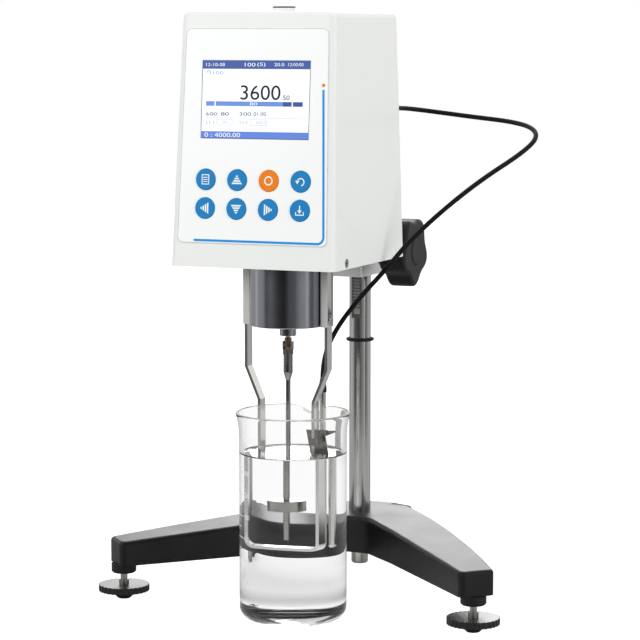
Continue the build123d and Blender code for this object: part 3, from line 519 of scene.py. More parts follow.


# %% [markdown]
# ## The line that frames the panel
# A blue line runs along the foot of the film, turns up its right side in a quarter circle and ends
# below an orange dot. The corner is one arc, so the line keeps its width all the way round. A thin grey line round
# the film is painted shade along the film's edge.

# %% Panel line
LINE_WIDE, LINE_ROUND = 1.5, 4.2
LINE_LEFT, LINE_LOW, LINE_RIGHT, LINE_TOP, DOT_UP = -39.4, 17.1, 48.9, 112.6, 115.3
LINE_LEAN = -2.8
FILM_HALF_LOW, FILM_HALF_HIGH, FILM_CORNER = 51.4, 48.8, 4.0
FILM_SHADE_WIDE, FILM_SHADE_IN, PRINT_THICK = 0.4, 0.25, 0.05


def film_edge_shade():
    """Painted shade along the film's edge, drawn as a thin grey line round the film: two leaning sides with their
    corners, foot and top.
    """
    strips = []
    for side in (-1, 1):
        low_x, high_x = side * (FILM_HALF_LOW - FILM_CORNER), side * (FILM_HALF_HIGH - FILM_CORNER)
        low = arc(low_x, FILM_LOW + FILM_CORNER, FILM_CORNER - FILM_SHADE_IN, -90, -90 + side * 90, 10)
        high = arc(high_x, FILM_HIGH - FILM_CORNER, FILM_CORNER - FILM_SHADE_IN, 90 - side * 90, 90, 10)
        strips.append(band(low + high, FILM_SHADE_WIDE))
    for edge, inward, wide in ((FILM_LOW, 1, FILM_HALF_LOW), (FILM_HIGH, -1, FILM_HALF_HIGH)):
        up, half = edge + inward * FILM_SHADE_IN, wide - FILM_CORNER
        strips.append(band([(-half, up), (half, up)], FILM_SHADE_WIDE))
    return strips


bend = arc(LINE_RIGHT - LINE_ROUND, LINE_LOW + LINE_ROUND, LINE_ROUND, -90, 0)
stroke = [(LINE_LEFT, LINE_LOW)] + bend + [(LINE_RIGHT + LINE_LEAN, LINE_TOP)]
panel_print = inlay("panel_print", [
    (ink("line_blue", "0090e4"),
     [band(stroke, LINE_WIDE), disc(LINE_LEFT, LINE_LOW, LINE_WIDE / 2, 16)]),
    (ink("dot_orange", "f26d00"), [disc(LINE_RIGHT + LINE_LEAN, DOT_UP, 1.1)]),
    # painted shade: the grey line stands in for the shade along the film's edge
    (ink("edge_shade_grey", "c4c8c6"), film_edge_shade()),
], 0.0, PRINT_THICK)
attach(panel_print, "head")
print("panel line", len(panel_print.data.polygons), "faces")

# %% [markdown]
# ## The screen's picture
# The screen shows a reading with its bars, boxes and plain figures. Each block of colour is an
# inlay on the pane. Each line of figures is text that is turned into thin solids and fitted into
# its own box on the ruler.

# %% Screen picture
PANE_OUT, PICTURE_THICK, FIGURES_THICK, GLOW = -0.1, 0.04, 0.05, 0.06
SCREEN_LEFT, SCREEN_RIGHT, SCREEN_LOW, SCREEN_HIGH = -37.05, 37.05, 81.45, 130.55
TITLE_TALL, FOOT_TALL, EDGE = 5.4, 4.5, 0.35
BAR_LOW, BAR_HIGH, BOX_LOW, BOX_HIGH = 101.9, 104.8, 89.8, 93.7
SCREEN_INKS = [ink(name, code, 0.3, GLOW) for name, code in (
    ("title_blue", "3d5ba4"), ("foot_blue", "5f86de"), ("bar_pale", "6a90de"), ("bar_full", "35539c"),
    ("edge_blue", "2c3f78"), ("line_grey", "c3c6cc"), ("reading", "1d1c1c"), ("screen_white", "f4f7fd"),
    ("caption", "55585e"), ("state_blue", "8fb0ea"))]
TITLE, FOOT, PALE, FULL, SIDE, LINE, DARK, LIGHT, CAPTION, STATE = range(len(SCREEN_INKS))


def box_outline(x0, x1, y0, y1, wide):
    return [oblong(x0, x1, y0, y0 + wide), oblong(x0, x1, y1 - wide, y1),
            oblong(x0, x0 + wide, y0 + wide, y1 - wide), oblong(x1 - wide, x1, y0 + wide, y1 - wide)]


field_boxes = [side for x0, x1 in ((-26.6, -15.3), (-3.2, 8.6))
               for side in box_outline(x0, x1, BOX_LOW, BOX_HIGH, 0.3)]
blocks = {
    TITLE: [oblong(SCREEN_LEFT, SCREEN_RIGHT, SCREEN_HIGH - TITLE_TALL, SCREEN_HIGH)],
    FOOT: [oblong(SCREEN_LEFT, SCREEN_RIGHT, SCREEN_LOW + EDGE, SCREEN_LOW + FOOT_TALL)],
    PALE: [oblong(-33.9, -28.0, BAR_LOW, BAR_HIGH), oblong(-27.2, 19.0, BAR_LOW, BAR_HIGH)],
    FULL: [oblong(19.0, 24.9, BAR_LOW, BAR_HIGH), oblong(25.7, 32.4, BAR_LOW, BAR_HIGH)],
    SIDE: [oblong(SCREEN_LEFT, SCREEN_LEFT + EDGE, SCREEN_LOW + FOOT_TALL, SCREEN_HIGH - TITLE_TALL),
           oblong(SCREEN_RIGHT - EDGE, SCREEN_RIGHT, SCREEN_LOW + FOOT_TALL, SCREEN_HIGH - TITLE_TALL),
           oblong(SCREEN_LEFT, SCREEN_RIGHT, SCREEN_LOW, SCREEN_LOW + EDGE)],
    LINE: field_boxes + [oblong(-33.7, 32.3, 94.4, 94.65)],
    STATE: [ring_sector(-32.6, 122.7, 0.95, 1.5, -60, 200)],
}
picture = inlay("screen_picture", [(SCREEN_INKS[kind], shapes) for kind, shapes in blocks.items()],
                PANE_OUT, PICTURE_THICK)
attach(picture, "head")


def weld(mesh):
    """Merges doubled points and turns every face outwards."""
    made = bmesh.new()
    made.from_mesh(mesh)
    bmesh.ops.remove_doubles(made, verts=made.verts, dist=1e-7)
    bmesh.ops.recalc_face_normals(made, faces=made.faces)
    made.to_mesh(mesh)
    made.free()


def figures(name, lines, inks, out, thick, place=on_panel):
    """Thin solid figures. A line is its words, its box (left, right, low, tall) and its ink."""
    vertices, faces, kinds = [], [], []
    for words, left, right, up, tall, kind in lines:
        data = bpy.data.curves.new(name, "FONT")
        data.body, data.extrude = words, 0.05
        text = linked(name, data)
        mesh = plain_mesh(text)
        bpy.data.objects.remove(text)
        xs, ys = [v.co.x for v in mesh.vertices], [v.co.y for v in mesh.vertices]
        wide_scale, tall_scale = (right - left) / (max(xs) - min(xs)), tall / (max(ys) - min(ys))
        start = len(vertices)
        vertices += [place(left + (v.co.x - min(xs)) * wide_scale, up + (v.co.y - min(ys)) * tall_scale,
                           out + (thick if v.co.z > 0 else 0.0)) for v in mesh.vertices]
        faces += [[start + k for k in face.vertices] for face in mesh.polygons]
        kinds += [kind] * len(mesh.polygons)
    whole = bpy.data.meshes.new(name)
    whole.from_pydata(vertices, [], faces)
    for finish in inks:
        whole.materials.append(finish)
    whole.polygons.foreach_set("material_index", kinds)
    weld(whole)
    return linked(name, whole)


readings = figures("screen_figures", [
    ("3600", -10.2, 17.1, 105.9, 9.1, DARK), (".50", 17.8, 23.4, 105.9, 3.0, DARK),
    ("12-10-08", -34.5, -21.5, 126.8, 2.0, LIGHT), ("100", -7.8, -0.5, 126.7, 2.3, LIGHT),
    ("(5)", 0.8, 6.3, 126.4, 2.8, LIGHT), ("20.0", 12.4, 19.2, 127.0, 2.0, LIGHT),
    ("12:00:00", 21.9, 32.2, 127.0, 2.0, LIGHT), ("100", -29.6, -22.4, 121.6, 2.1, STATE),
    ("80", -3.7, 1.5, 102.5, 1.8, LIGHT), ("600:", -33.7, -25.0, 95.7, 2.2, CAPTION),
    ("80", -23.4, -17.9, 95.8, 2.2, DARK), ("300", -10.6, -2.5, 95.9, 2.2, CAPTION),
    (":01:00", -1.6, 7.7, 96.0, 2.2, DARK), ("01", -33.6, -28.1, 90.3, 2.2, LINE),
    ("02", -10.4, -4.4, 90.6, 2.2, LINE), ("20", -22.7, -19.3, 90.7, 2.0, LINE),
    ("60.0", 1.0, 8.0, 90.9, 2.0, LINE), ("0 : 4000.00", -34.4, -9.7, 82.4, 2.7, LIGHT),
], SCREEN_INKS, PANE_OUT, FIGURES_THICK)
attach(readings, "head")
print("screen figures:", len(readings.data.polygons), "faces")

# %% [markdown]
# ## Marks on the keys
# Four keys steer, and carry an arrowhead cut into stripes. The others carry plain signs: a sheet,
# a ring, a turned arrow and a tray. Each mark rides on its own key, so it goes in when the key is
# pressed.

# %% Key marks
KEY_OUT, MARK_THICK = 0.6, 0.04
ARROW_LONG, ARROW_HALF, ARROW_BARS, BAR_SHARE, ARROW_MIDDLE = 6.0, 3.6, 4, 0.66, 0.42


def striped_arrowhead(turn):
    """Bars across an arrowhead that points up, turned by degrees."""
    bars = []
    pitch, shift = ARROW_LONG / ARROW_BARS, ARROW_LONG * ARROW_MIDDLE
    for k in range(ARROW_BARS):
        y0, y1 = k * pitch, (k + BAR_SHARE) * pitch
        w0, w1 = (ARROW_HALF * (1 - y / ARROW_LONG) for y in (y0, y1))
        corners = [(-w0, y0 - shift), (w0, y0 - shift), (w1, y1 - shift), (-w1, y1 - shift)]
        bars.append(turned(corners, turn))
    return bars


def turned(outline, degrees):
    c, s = math.cos(math.radians(degrees)), math.sin(math.radians(degrees))
    return [(x * c - y * s, x * s + y * c) for x, y in outline]


sheet_mark = box_outline(-2.6, 2.6, -3.2, 3.2, 0.55)
sheet_mark += [oblong(-1.5, 1.5, y, y + 0.5) for y in (-1.6, -0.3, 1.0)]
ring_mark = [ring_sector(0, 0, 2.1, 2.9, 0, 180), ring_sector(0, 0, 2.1, 2.9, 180, 360)]
back_mark = [ring_sector(0.2, -0.3, 1.9, 2.6, -80, 165), turned([(-1.4, 0), (1.4, 0), (0, 2.3)], 180)]
back_mark[1] = [(x - 2.05, y + 0.6) for x, y in back_mark[1]]
tray_mark = [oblong(-2.9, 2.9, -3.0, -2.4), oblong(-2.9, -2.3, -2.4, -0.8),
             oblong(2.3, 2.9, -2.4, -0.8), oblong(-0.35, 0.35, 0.2, 3.2),
             [(-1.5, 0.2), (0, -1.8), (1.5, 0.2)]]
marks = {"key_up": striped_arrowhead(0), "key_left": striped_arrowhead(90),
         "key_down": striped_arrowhead(180), "key_right": striped_arrowhead(-90),
         "key_print": sheet_mark, "key_ok": ring_mark, "key_back": back_mark, "key_save": tray_mark}
mark_white = ink("mark_white", "f4f8fb")
for key, outlines in marks.items():
    across, up, _ = panel_place(middle(key))
    outlines = [[(x + across, y + up) for x, y in outline] for outline in outlines]
    mark = inlay("mark_" + key[4:], [(mark_white, outlines)], KEY_OUT, MARK_THICK)
    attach(mark, key + "_body")
print("key marks:", len(marks))

# %% [markdown]
# ## The beaker
# A beaker is a spun wall with one departure from the round: the spout. The wall is a profile
# turned about the axis, and a smooth push near the rim draws the spout out of it.

# %% Beaker
beaker_low, beaker_high = (Vector(corner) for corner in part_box("beaker"))
beaker_mid = (beaker_low + beaker_high) / 2
RIM_UP = beaker_high.z / MM
BORE, BODY, RIM, FLOOR, FOOT_ROUND, INNER_ROUND = 33.3, 35.3, 37.6, 3.2, 8.0, 6.5
RIM_DROP, LIP_ROUND = 16.0, 1.0
SHARP = 40              # an edge that bends by more degrees than this stays crisp
STRAIGHT_LEVELS = [20, 45, 70, 95, 112]


def lathe(name, profile, around, push=None, centre=beaker_mid):
    """A closed body from (radius, height) points in mm, turned about an upright axis."""
    vertices, rings = [], []
    for radius, height in profile:
        turns = 1 if radius == 0 else around
        rings.append((len(vertices), turns))
        for k in range(turns):
            angle = 2 * math.pi * k / around
            spot = Vector((radius * math.cos(angle), radius * math.sin(angle), height))
            if push:
                spot = push(spot, radius, angle, height)
            vertices.append((centre.x + spot.x * MM, centre.y + spot.y * MM, spot.z * MM))
    faces = []
    for (start, count), (after, next_count) in zip(rings, rings[1:]):
        for k in range(around):
            near, far = k % count, (k + 1) % count
            near_up, far_up = k % next_count, (k + 1) % next_count
            ring = [start + near, start + far, after + far_up, after + near_up]
            faces.append(list(dict.fromkeys(ring)))
    mesh = bpy.data.meshes.new(name)
    mesh.from_pydata(vertices, [], faces)
    weld(mesh)
    mesh.polygons.foreach_set("use_smooth", [True] * len(mesh.polygons))
    mesh.set_sharp_from_angle(angle=math.radians(SHARP))
    mesh.update()
    return linked(name, mesh)


def rounded(x, y, radius, start, end, steps=6):
    return [(max(px, 0.0), py) for px, py in arc(x, y, radius, start, end, steps)]


def flared(radius, height):
    """A wall's radius at a height: straight, then out to the rim in one soft curve."""
    rise = max(0.0, (height - RIM_UP + RIM_DROP) / (RIM_DROP - LIP_ROUND))
    return radius + (RIM - BODY) * rise * rise, height


SPOUT_WAY, SPOUT_WIDE, SPOUT_REACH, SPOUT_DROP, SPOUT_DEEP = math.radians(91), 0.22, 3.5, 6.0, 20.0
FACING_UP, SPOUT_SIDE = 0.35, 20.0


def draw_spout(spot, radius, angle, height):
    """Pushes the wall out and its rim down, on one side only."""
    away = (angle - SPOUT_WAY + math.pi) % (2 * math.pi) - math.pi
    if radius < BORE - 1 or height < RIM_UP - SPOUT_DEEP:
        return spot
    rise = (height - RIM_UP + SPOUT_DEEP) / SPOUT_DEEP
    push = rise * rise * math.exp(-(away / SPOUT_WIDE) ** 2)
    direction = Vector((math.cos(angle), math.sin(angle), 0))
    return spot + direction * SPOUT_REACH * push - Vector((0, 0, SPOUT_DROP * push))


levels = [RIM_UP - RIM_DROP + (RIM_DROP - LIP_ROUND) * k / 8 for k in range(9)]
outer_wall = ([(0.0, 0.5), (BODY - FOOT_ROUND - 4, 0.5), (BODY - FOOT_ROUND, 0.05)]
              + rounded(BODY - FOOT_ROUND, FOOT_ROUND, FOOT_ROUND, -84, 0, 10)
              + [(BODY, level) for level in STRAIGHT_LEVELS]
              + [flared(BODY, level) for level in levels])
lip = rounded(RIM - LIP_ROUND, RIM_UP - LIP_ROUND, LIP_ROUND, 0, 180, 8)[1:-1]
inner_wall = ([flared(BORE, level) for level in levels[::-1]]
              + [(BORE, level) for level in STRAIGHT_LEVELS[::-1]]
              + rounded(BORE - INNER_ROUND, FLOOR + INNER_ROUND, INNER_ROUND, 0, -90, 8)
              + [(0.0, FLOOR)])
glass = lathe("beaker_wall", outer_wall + lip + inner_wall, 144, draw_spout)
glass.data.materials.append(finishes["beaker_glass"])
glass.data.materials.append(rim_finish.material)
for face in glass.data.polygons:
    from_axis = face.center - beaker_mid
    near_edge = math.hypot(from_axis.x, from_axis.y) > (RIM - 1.0) * MM
    in_spout = near_edge and from_axis.y > SPOUT_SIDE * MM
    lip_low = RIM_UP - LIP_ROUND - (SPOUT_DROP if in_spout else 0.0)
    face.material_index = int(face.normal.z > FACING_UP and face.center.z > lip_low * MM)
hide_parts("beaker")
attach(glass, "beaker_glass")

# %% [markdown]
# ## Graduation by Geometry Nodes
# The fired-on scale is one tick, repeated up the wall. A small node tree makes the tick as a flat
# block, sets it out along a line, and then bends the whole ladder round the glass: the block's
# width becomes an angle.

# %% Graduation
SCALE_WAY, SCALE_LOW, SCALE_STEP, SCALE_COUNT, SCALE_STAND_OFF = math.radians(213), 27.0, 7.2, 11, 0.03
TICK_DEEP, TICK_TALL, NUMBER_TALL = 0.08, 0.55, 3.2
LADDER_SOCKETS = {"Count": ("NodeSocketInt", 5), "Step": ("NodeSocketFloat", 0.01),
                  "First": ("NodeSocketFloat", 0.03),
                  "Size": ("NodeSocketVector", (0.005, 0.0001, 0.0005)),
                  "Shift": ("NodeSocketFloat", 0.0), "Radius": ("NodeSocketFloat", 0.03),
                  "Bearing": ("NodeSocketFloat", 0.0), "Ink": ("NodeSocketMaterial", None)}


def ladder_tree():
    """Ticks along a line, bent round a cylinder about the axis x = y = 0."""
    tree = bpy.data.node_groups.new("ladder", "GeometryNodeTree")
    tree.is_modifier = True
    tree.interface.new_socket("Geometry", in_out="OUTPUT", socket_type="NodeSocketGeometry")
    for label, (kind, value) in LADDER_SOCKETS.items():
        socket = tree.interface.new_socket(label, in_out="INPUT", socket_type=kind)
        if value is not None:
            socket.default_value = value
    given = tree.nodes.new("NodeGroupInput").outputs

    def node(kind, output=0, **inputs):
        made = tree.nodes.new(kind)
        for label, value in inputs.items():
            plug(tree, made.inputs[label.replace("_", " ")], value)
        return made.outputs[output]

    def number(label):
        return Value(tree, given[label])

    tick = node("GeometryNodeMeshCube", Size=given["Size"], Vertices_X=9)
    start = node("ShaderNodeCombineXYZ", X=given["Shift"], Z=given["First"])
    rise = node("ShaderNodeCombineXYZ", Z=given["Step"])
    line = node("GeometryNodeMeshLine", Count=given["Count"], Start_Location=start, Offset=rise)
    ticks = node("GeometryNodeInstanceOnPoints", Points=line, Instance=tick)
    solid = node("GeometryNodeRealizeInstances", Geometry=ticks)
    split = tree.nodes.new("ShaderNodeSeparateXYZ")
    tree.links.new(node("GeometryNodeInputPosition"), split.inputs[0])
    x, y, z = [Value(tree, socket) for socket in split.outputs]
    angle, away = number("Bearing") + x / number("Radius"), number("Radius") + y
    bent = node("ShaderNodeCombineXYZ", X=away * angle.math("COSINE", angle),
                Y=away * angle.math("SINE", angle), Z=z)
    placed = node("GeometryNodeSetPosition", Geometry=solid, Position=bent)
    inked = node("GeometryNodeSetMaterial", Geometry=placed, Material=given["Ink"])
    tree.links.new(inked, tree.nodes.new("NodeGroupOutput").inputs[0])
    return tree


def ladder(name, tree, **values):
    """One run of the tree with its own values, kept as a plain mesh."""
    holder = linked(name, bpy.data.meshes.new(name))
    modifier = holder.modifiers.new("ladder", "NODES")
    modifier.node_group = tree
    keys = {item.name: item.identifier for item in tree.interface.items_tree if item.in_out == "INPUT"}
    for label, value in values.items():
        modifier[keys[label]] = value
    mesh = plain_mesh(holder)
    holder.modifiers.remove(modifier)
    mesh.transform(Matrix.Translation((beaker_mid.x, beaker_mid.y, 0)))
    weld(mesh)
    holder.data = mesh
    return holder


def on_glass(across, up, out=0.0):
    """A point on the beaker's wall: mm round it from the scale's middle, mm up, mm off the glass."""
    angle = SCALE_WAY + across / BODY
    return Vector((beaker_mid.x + (BODY + out) * MM * math.cos(angle),
                   beaker_mid.y + (BODY + out) * MM * math.sin(angle), up * MM))


scale_ink = ink("scale_white", "f6f7f6")
ladder_maker = ladder_tree()
ladders = []
for label, skip, wide in (("long", 2, 9.0), ("short", 1, 5.0)):
    count = (SCALE_COUNT - 1) // skip + 1
    ladders.append(ladder("scale_" + label, ladder_maker, Count=count, Step=SCALE_STEP * skip * MM,
                          First=SCALE_LOW * MM, Shift=wide / 2 * MM, Bearing=SCALE_WAY,
                          Size=(wide * MM, TICK_DEEP * MM, TICK_TALL * MM),
                          Radius=(BODY + SCALE_STAND_OFF) * MM, Ink=scale_ink))
numbers = figures("scale_numbers", [
    (str(50 * (k + 1)), 10.5, 16.5, SCALE_LOW + 2 * SCALE_STEP * k - NUMBER_TALL / 2, NUMBER_TALL, 0)
    for k in range(SCALE_COUNT // 2 + 1)
], [scale_ink], SCALE_STAND_OFF, TICK_DEEP, on_glass)
for piece in ladders + [numbers]:
    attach(piece, "beaker_glass")
print("graduation:", [len(piece.data.polygons) for piece in ladders + [numbers]], "faces")

# %% [markdown]
# ## The liquid
# The liquid fills the bore from the floor up. Its body reaches a few hundredths of a millimetre
# into the glass, and its surface climbs the wall in a small meniscus.

# %% Liquid
LIQUID_UP, WET = 109.7, 0.04
bore = BORE + WET
liquid = lathe("liquid", [(0.0, FLOOR - WET)]
               + rounded(BORE - INNER_ROUND, FLOOR + INNER_ROUND, INNER_ROUND + WET, -90, 0, 8)
               + [(bore, level) for level in (20, 45, 70, 95, LIQUID_UP + 1.2)]
               + [(bore - 0.4, LIQUID_UP + 0.6), (bore - 1.0, LIQUID_UP + 0.25),
                  (bore - 1.8, LIQUID_UP + 0.06), (bore - 3, LIQUID_UP), (15, LIQUID_UP),
                  (0.0, LIQUID_UP)], 144)
liquid.data.materials.append(liquid_finish)
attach(liquid, "beaker_glass")
print("beaker", len(glass.data.polygons), "faces, liquid", len(liquid.data.polygons))

# %% [markdown]
# ## Two small turned pieces
# The column's nut shows as a round cap with its washer, and the stop is a rubber ring of round
# section that grips the column. Both are turned profiles that stand in for their plainer solids.

# %% Cap nut and stop ring
column_mid = middle("column")
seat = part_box("column_nut")[1][2] / MM
CAP_TIP, CAP_RADIUS, CAP_ROUND, CAP_NECK = 11.3, 5.9, 1.6, 0.35
WASHER_RADIUS, WASHER_THICK, WASHER_EDGE = 6.7, 1.2, 0.3
cap_top = seat - WASHER_THICK
cap = ([(0.0, CAP_TIP)] + rounded(CAP_RADIUS - CAP_ROUND, CAP_TIP + CAP_ROUND, CAP_ROUND, -90, 0, 6)
       + [(CAP_RADIUS, cap_top - 1.5), (CAP_RADIUS - CAP_NECK, cap_top - 1.2),
          (CAP_RADIUS - CAP_NECK, cap_top - 0.4), (CAP_RADIUS, cap_top),
          (WASHER_RADIUS - WASHER_EDGE, cap_top), (WASHER_RADIUS, cap_top + WASHER_EDGE),
          (WASHER_RADIUS, seat), (0.0, seat)])
cap_nut = lathe("cap_nut", cap, 64, centre=column_mid)
cap_nut.data.materials.append(metal("cap_nut_steel", "c9c8c4", 0.22, TURNED, 0.003, 0.08))
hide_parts("column_nut")
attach(cap_nut, "stand")

RING_MIDDLE, RING_THICK, COLUMN_RADIUS, RING_GRIP = 170.4, 1.15, 7.6, 0.1
ring_points = arc(COLUMN_RADIUS + RING_THICK - RING_GRIP, RING_MIDDLE, RING_THICK, 0, 360 * 15 / 16, 15)


def torus(name, profile, around, centre):
    """A closed ring from a closed profile of (radius, height) points in mm."""
    count = len(profile)
    vertices = [(centre.x + radius * MM * math.cos(2 * math.pi * k / around),
                 centre.y + radius * MM * math.sin(2 * math.pi * k / around), height * MM)
                for k in range(around) for radius, height in profile]
    faces = [(k * count + j, (k + 1) % around * count + j, (k + 1) % around * count + (j + 1) % count,
              k * count + (j + 1) % count) for k in range(around) for j in range(count)]
    mesh = bpy.data.meshes.new(name)
    mesh.from_pydata(vertices, [], faces)
    weld(mesh)
    mesh.polygons.foreach_set("use_smooth", [True] * len(mesh.polygons))
    return linked(name, mesh)


rubber_ring = torus("rubber_ring", ring_points, 64, column_mid)
rubber_ring.data.materials.append(finishes["black_rubber"])
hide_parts("stop_ring")
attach(rubber_ring, "stand")
print("turned pieces:", len(cap_nut.data.polygons) + len(rubber_ring.data.polygons), "faces")

# %% [markdown]
# ## Cross recesses of the side screws
# The shade in a cross recess is painted: a dark cross of four arms, drawn as a thin inlay on each front screw's
# face, stands in for the shaded hole.

# %% Screw recesses
screw_low, screw_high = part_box("cover_screws")
SCREW_BACK, ARM_LONG, ARM_WIDE, RECESS_SUNK, RECESS_THICK = 38.0, 1.7, 0.55, 0.02, 0.06
screw_y, screw_z = SPINDLE_Y / MM - SCREW_BACK, (screw_low[2] + screw_high[2]) / 2 / MM
half = ARM_WIDE / 2
cross = [oblong(-ARM_LONG, ARM_LONG, -half, half), oblong(-half, half, half, ARM_LONG),
         oblong(-half, half, -ARM_LONG, -half)]
# painted shade: this dark ink stands in for the shade inside each recess
recess_shade_ink = ink("recess", "1b1b1c", 0.6)
for side, face in (("left", screw_low[0]), ("right", screw_high[0])):
    out = 1 if side == "right" else -1

    def on_screw(along, up, away):
        return Vector((face + out * away * MM, (screw_y + out * along) * MM, (screw_z + up) * MM))

    recess = inlay("screw_recess_shade_" + side, [(recess_shade_ink, cross)], -RECESS_SUNK, RECESS_THICK, on_screw)
    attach(recess, "head")
print("screw recesses: 2")

# %% [markdown]
# ## A plain studio
# White floor and white room, so the object stands free. Bare metal shows whatever stands round it,
# and a white room alone would wash it out, so a dark screen with lighter gaps stands behind the
# camera. Only reflections see it: it takes no light from anything and hides nothing. Seen through the
# glass, the floor is painted darker, most near the beaker, as painted shade under and inside it;
# floor and screen seen through glass after a reflection get a painted gleam.

# %% Studio
WORLD_LIGHT, WORLD_MIRRORED, FLOOR_PAINT, FLOOR_REACH = 0.60, 0.95, 0.35, 4.0
FLOOR_WHITE, MIRRORED_NEAR, MIRRORED_FAR = 1.0, 0.7, 0.1
# painted shade: the floor's glow seen through glass, near the beaker and further out; painted gleam: extra glow
# for what is seen through glass after a reflection
IN_GLASS_SHADE_NEAR, IN_GLASS_SHADE_FAR, PAINTED_GLASS_GLEAM = 0.16, 0.62, 0.3
NEAR_ENDS, FAR_STARTS, FLOOR_DROP = 0.045, 0.095, 0.0002   # metres out from the beaker, and down


def arriving(tree):
    """Four numbers from 0 to 1 for how a ray comes: directly or through glass, in a reflection,
    through glass, and through glass in a reflection."""
    path = tree.nodes.new("ShaderNodeLightPath")
    camera_ray, glossy_ray, glass_ray, bounces = [Value(tree, path.outputs[way]) for way in (
        "Is Camera Ray", "Is Glossy Ray", "Is Transmission Ray", "Glossy Depth")]
    after_mirror = bounces > 0.5
    plain = camera_ray.math("MAXIMUM", camera_ray, glass_ray) * (1 - after_mirror)
    mirrored = glossy_ray.math("MAXIMUM", glossy_ray, glass_ray) * after_mirror
    return plain, mirrored, glass_ray * (1 - after_mirror), glass_ray * after_mirror


def stage_material(name):
    """An empty material, its tree and its output's surface socket."""
    made = bpy.data.materials.new(name)
    made.use_nodes = True
    made.node_tree.nodes.remove(made.node_tree.nodes["Principled BSDF"])
    return made, made.node_tree, made.node_tree.nodes["Material Output"].inputs["Surface"]


world = bpy.data.worlds.new("studio")
scene.world = world
world.use_nodes = True
background = world.node_tree.nodes["Background"]
background.inputs["Color"].default_value = (1, 1, 1, 1)
plain, mirrored, _, _ = arriving(world.node_tree)
plug(world.node_tree, background.inputs["Strength"],
     WORLD_LIGHT + plain * (1 - WORLD_LIGHT) + mirrored * (WORLD_MIRRORED - WORLD_LIGHT))

floor_finish, floor_tree, floor_surface = stage_material("floor")
paint = floor_tree.nodes.new("ShaderNodeBsdfDiffuse")
paint.inputs["Color"].default_value = (FLOOR_PAINT,) * 3 + (1.0,)
lift = floor_tree.nodes.new("ShaderNodeEmission")
plain, mirrored, in_glass, mirrored_in_glass = arriving(floor_tree)
spot = floor_tree.nodes.new("ShaderNodeSeparateXYZ")
floor_tree.links.new(floor_tree.nodes.new("ShaderNodeTexCoord").outputs["Object"], spot.inputs[0])
x = Value(floor_tree, spot.outputs[0]) - beaker_mid.x
y = Value(floor_tree, spot.outputs[1]) - beaker_mid.y
away = x * x + y * y
far = (away.math("POWER", away, 0.5) - NEAR_ENDS) / (FAR_STARTS - NEAR_ENDS)
far = far.math("MINIMUM", far.math("MAXIMUM", far, 0.0), 1.0)
# The floor glows white to the camera; seen in a reflection it is lighter near the beaker and darker further out;
# seen through glass it is painted darker, most near the beaker, as painted shade; seen through glass after a
# reflection it gets a painted gleam.
plug(floor_tree, lift.inputs["Strength"],
     plain * FLOOR_WHITE + mirrored * (MIRRORED_NEAR + far * (MIRRORED_FAR - MIRRORED_NEAR))
     + in_glass * (IN_GLASS_SHADE_NEAR - FLOOR_WHITE + far * (IN_GLASS_SHADE_FAR - IN_GLASS_SHADE_NEAR))
     + mirrored_in_glass * PAINTED_GLASS_GLEAM)
both = floor_tree.nodes.new("ShaderNodeAddShader")
for place, part in zip(both.inputs, (paint, lift)):
    floor_tree.links.new(part.outputs[0], place)
floor_tree.links.new(both.outputs[0], floor_surface)
bpy.ops.mesh.primitive_circle_add(vertices=64, radius=FLOOR_REACH, fill_type="NGON",
                                  location=(0, 0, -FLOOR_DROP))
floor = bpy.context.object
floor.name = "floor"
floor.data.materials.append(floor_finish)

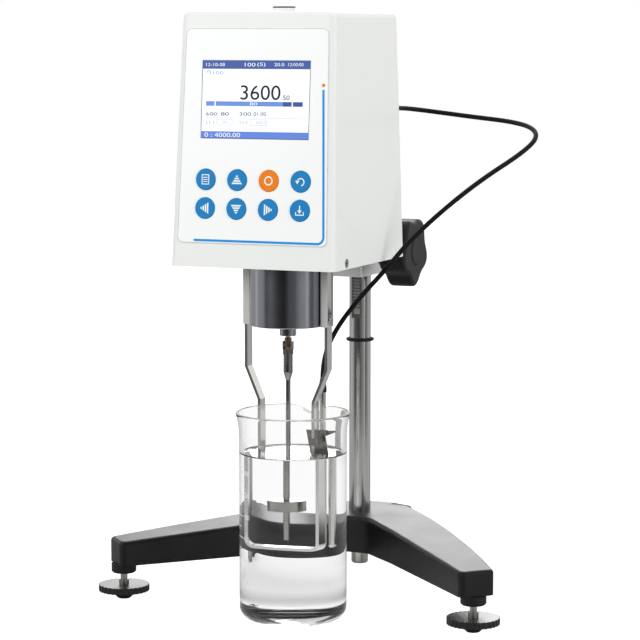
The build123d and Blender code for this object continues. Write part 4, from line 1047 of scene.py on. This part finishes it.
# The screen's grey at each bearing: degrees from the front towards the right, and how light.
SCREEN_AWAY, SCREEN_BOTTOM, SCREEN_TOP = 0.62, 0.001, 1.1
SCREEN_GREYS = [(-82, 1.0), (-72, 0.42), (-50, 0.38), (-42, 0.05), (-5, 0.03), (8, 0.01),
                (16, 0.02), (22, 0.11), (40, 0.12), (45, 0.22), (70, 0.24), (75, 0.6),
                (79, 0.55), (81, 0.04), (96, 0.04), (102, 0.3), (128, 0.38), (134, 1.0)]
screen_finish, screen_tree, screen_surface = stage_material("dark_screen")
shade = Value(screen_tree, screen_tree.nodes.new("ShaderNodeAttribute").outputs["Fac"])
shade.socket.node.attribute_name = "grey"
glow = screen_tree.nodes.new("ShaderNodeEmission")
_, mirrored, _, mirrored_in_glass = arriving(screen_tree)
# painted gleam: seen through glass after a reflection, the screen glows lighter
plug(screen_tree, glow.inputs["Strength"], shade + mirrored_in_glass * PAINTED_GLASS_GLEAM)
clear_way = screen_tree.nodes.new("ShaderNodeBsdfTransparent")
either = screen_tree.nodes.new("ShaderNodeMixShader")
plug(screen_tree, either.inputs[0], mirrored)
for place, part in zip(either.inputs[1:], (clear_way, glow)):
    screen_tree.links.new(part.outputs[0], place)
screen_tree.links.new(either.outputs[0], screen_surface)
wall_points, wall_greys = [], []
for bearing, grey in SCREEN_GREYS:
    turn = math.radians(bearing)
    for up in (SCREEN_BOTTOM, SCREEN_TOP):
        wall_points.append((SCREEN_AWAY * math.sin(turn), -SCREEN_AWAY * math.cos(turn), up))
        wall_greys.append(grey)
wall = bpy.data.meshes.new("dark_screen")
wall.from_pydata(wall_points, [], [(2 * k, 2 * k + 2, 2 * k + 3, 2 * k + 1)
                                   for k in range(len(SCREEN_GREYS) - 1)])
wall.attributes.new("grey", "FLOAT", "POINT").data.foreach_set("value", wall_greys)
wall.materials.append(screen_finish)
dark_screen = linked("dark_screen", wall)
for way in ("camera", "diffuse", "shadow", "volume_scatter"):
    setattr(dark_screen, "visible_" + way, False)


def lamp(name, spot, target, size, power):
    data = bpy.data.lights.new(name, "AREA")
    data.shape, data.size, data.energy = "DISK", size, power
    made = linked(name, data)
    made.location = spot
    made.rotation_euler = (Vector(target) - Vector(spot)).to_track_quat("-Z", "Y").to_euler()


lamp("key", (-1.1, -1.9, 0.9), (0, 0, 0.25), 1.2, 22)
lamp("fill", (2.0, -0.5, 0.7), (0, 0, 0.25), 1.4, 20)
lamp("top", (0.1, 0.5, 2.0), (0, 0, 0.2), 1.4, 4)
lamp("back", (-0.7, 2.0, 0.9), (0, 0, 0.25), 1.2, 14)
scene.view_settings.view_transform = "Standard"
print("lamps:", len(bpy.data.lights), "greys of the screen:", len(SCREEN_GREYS))
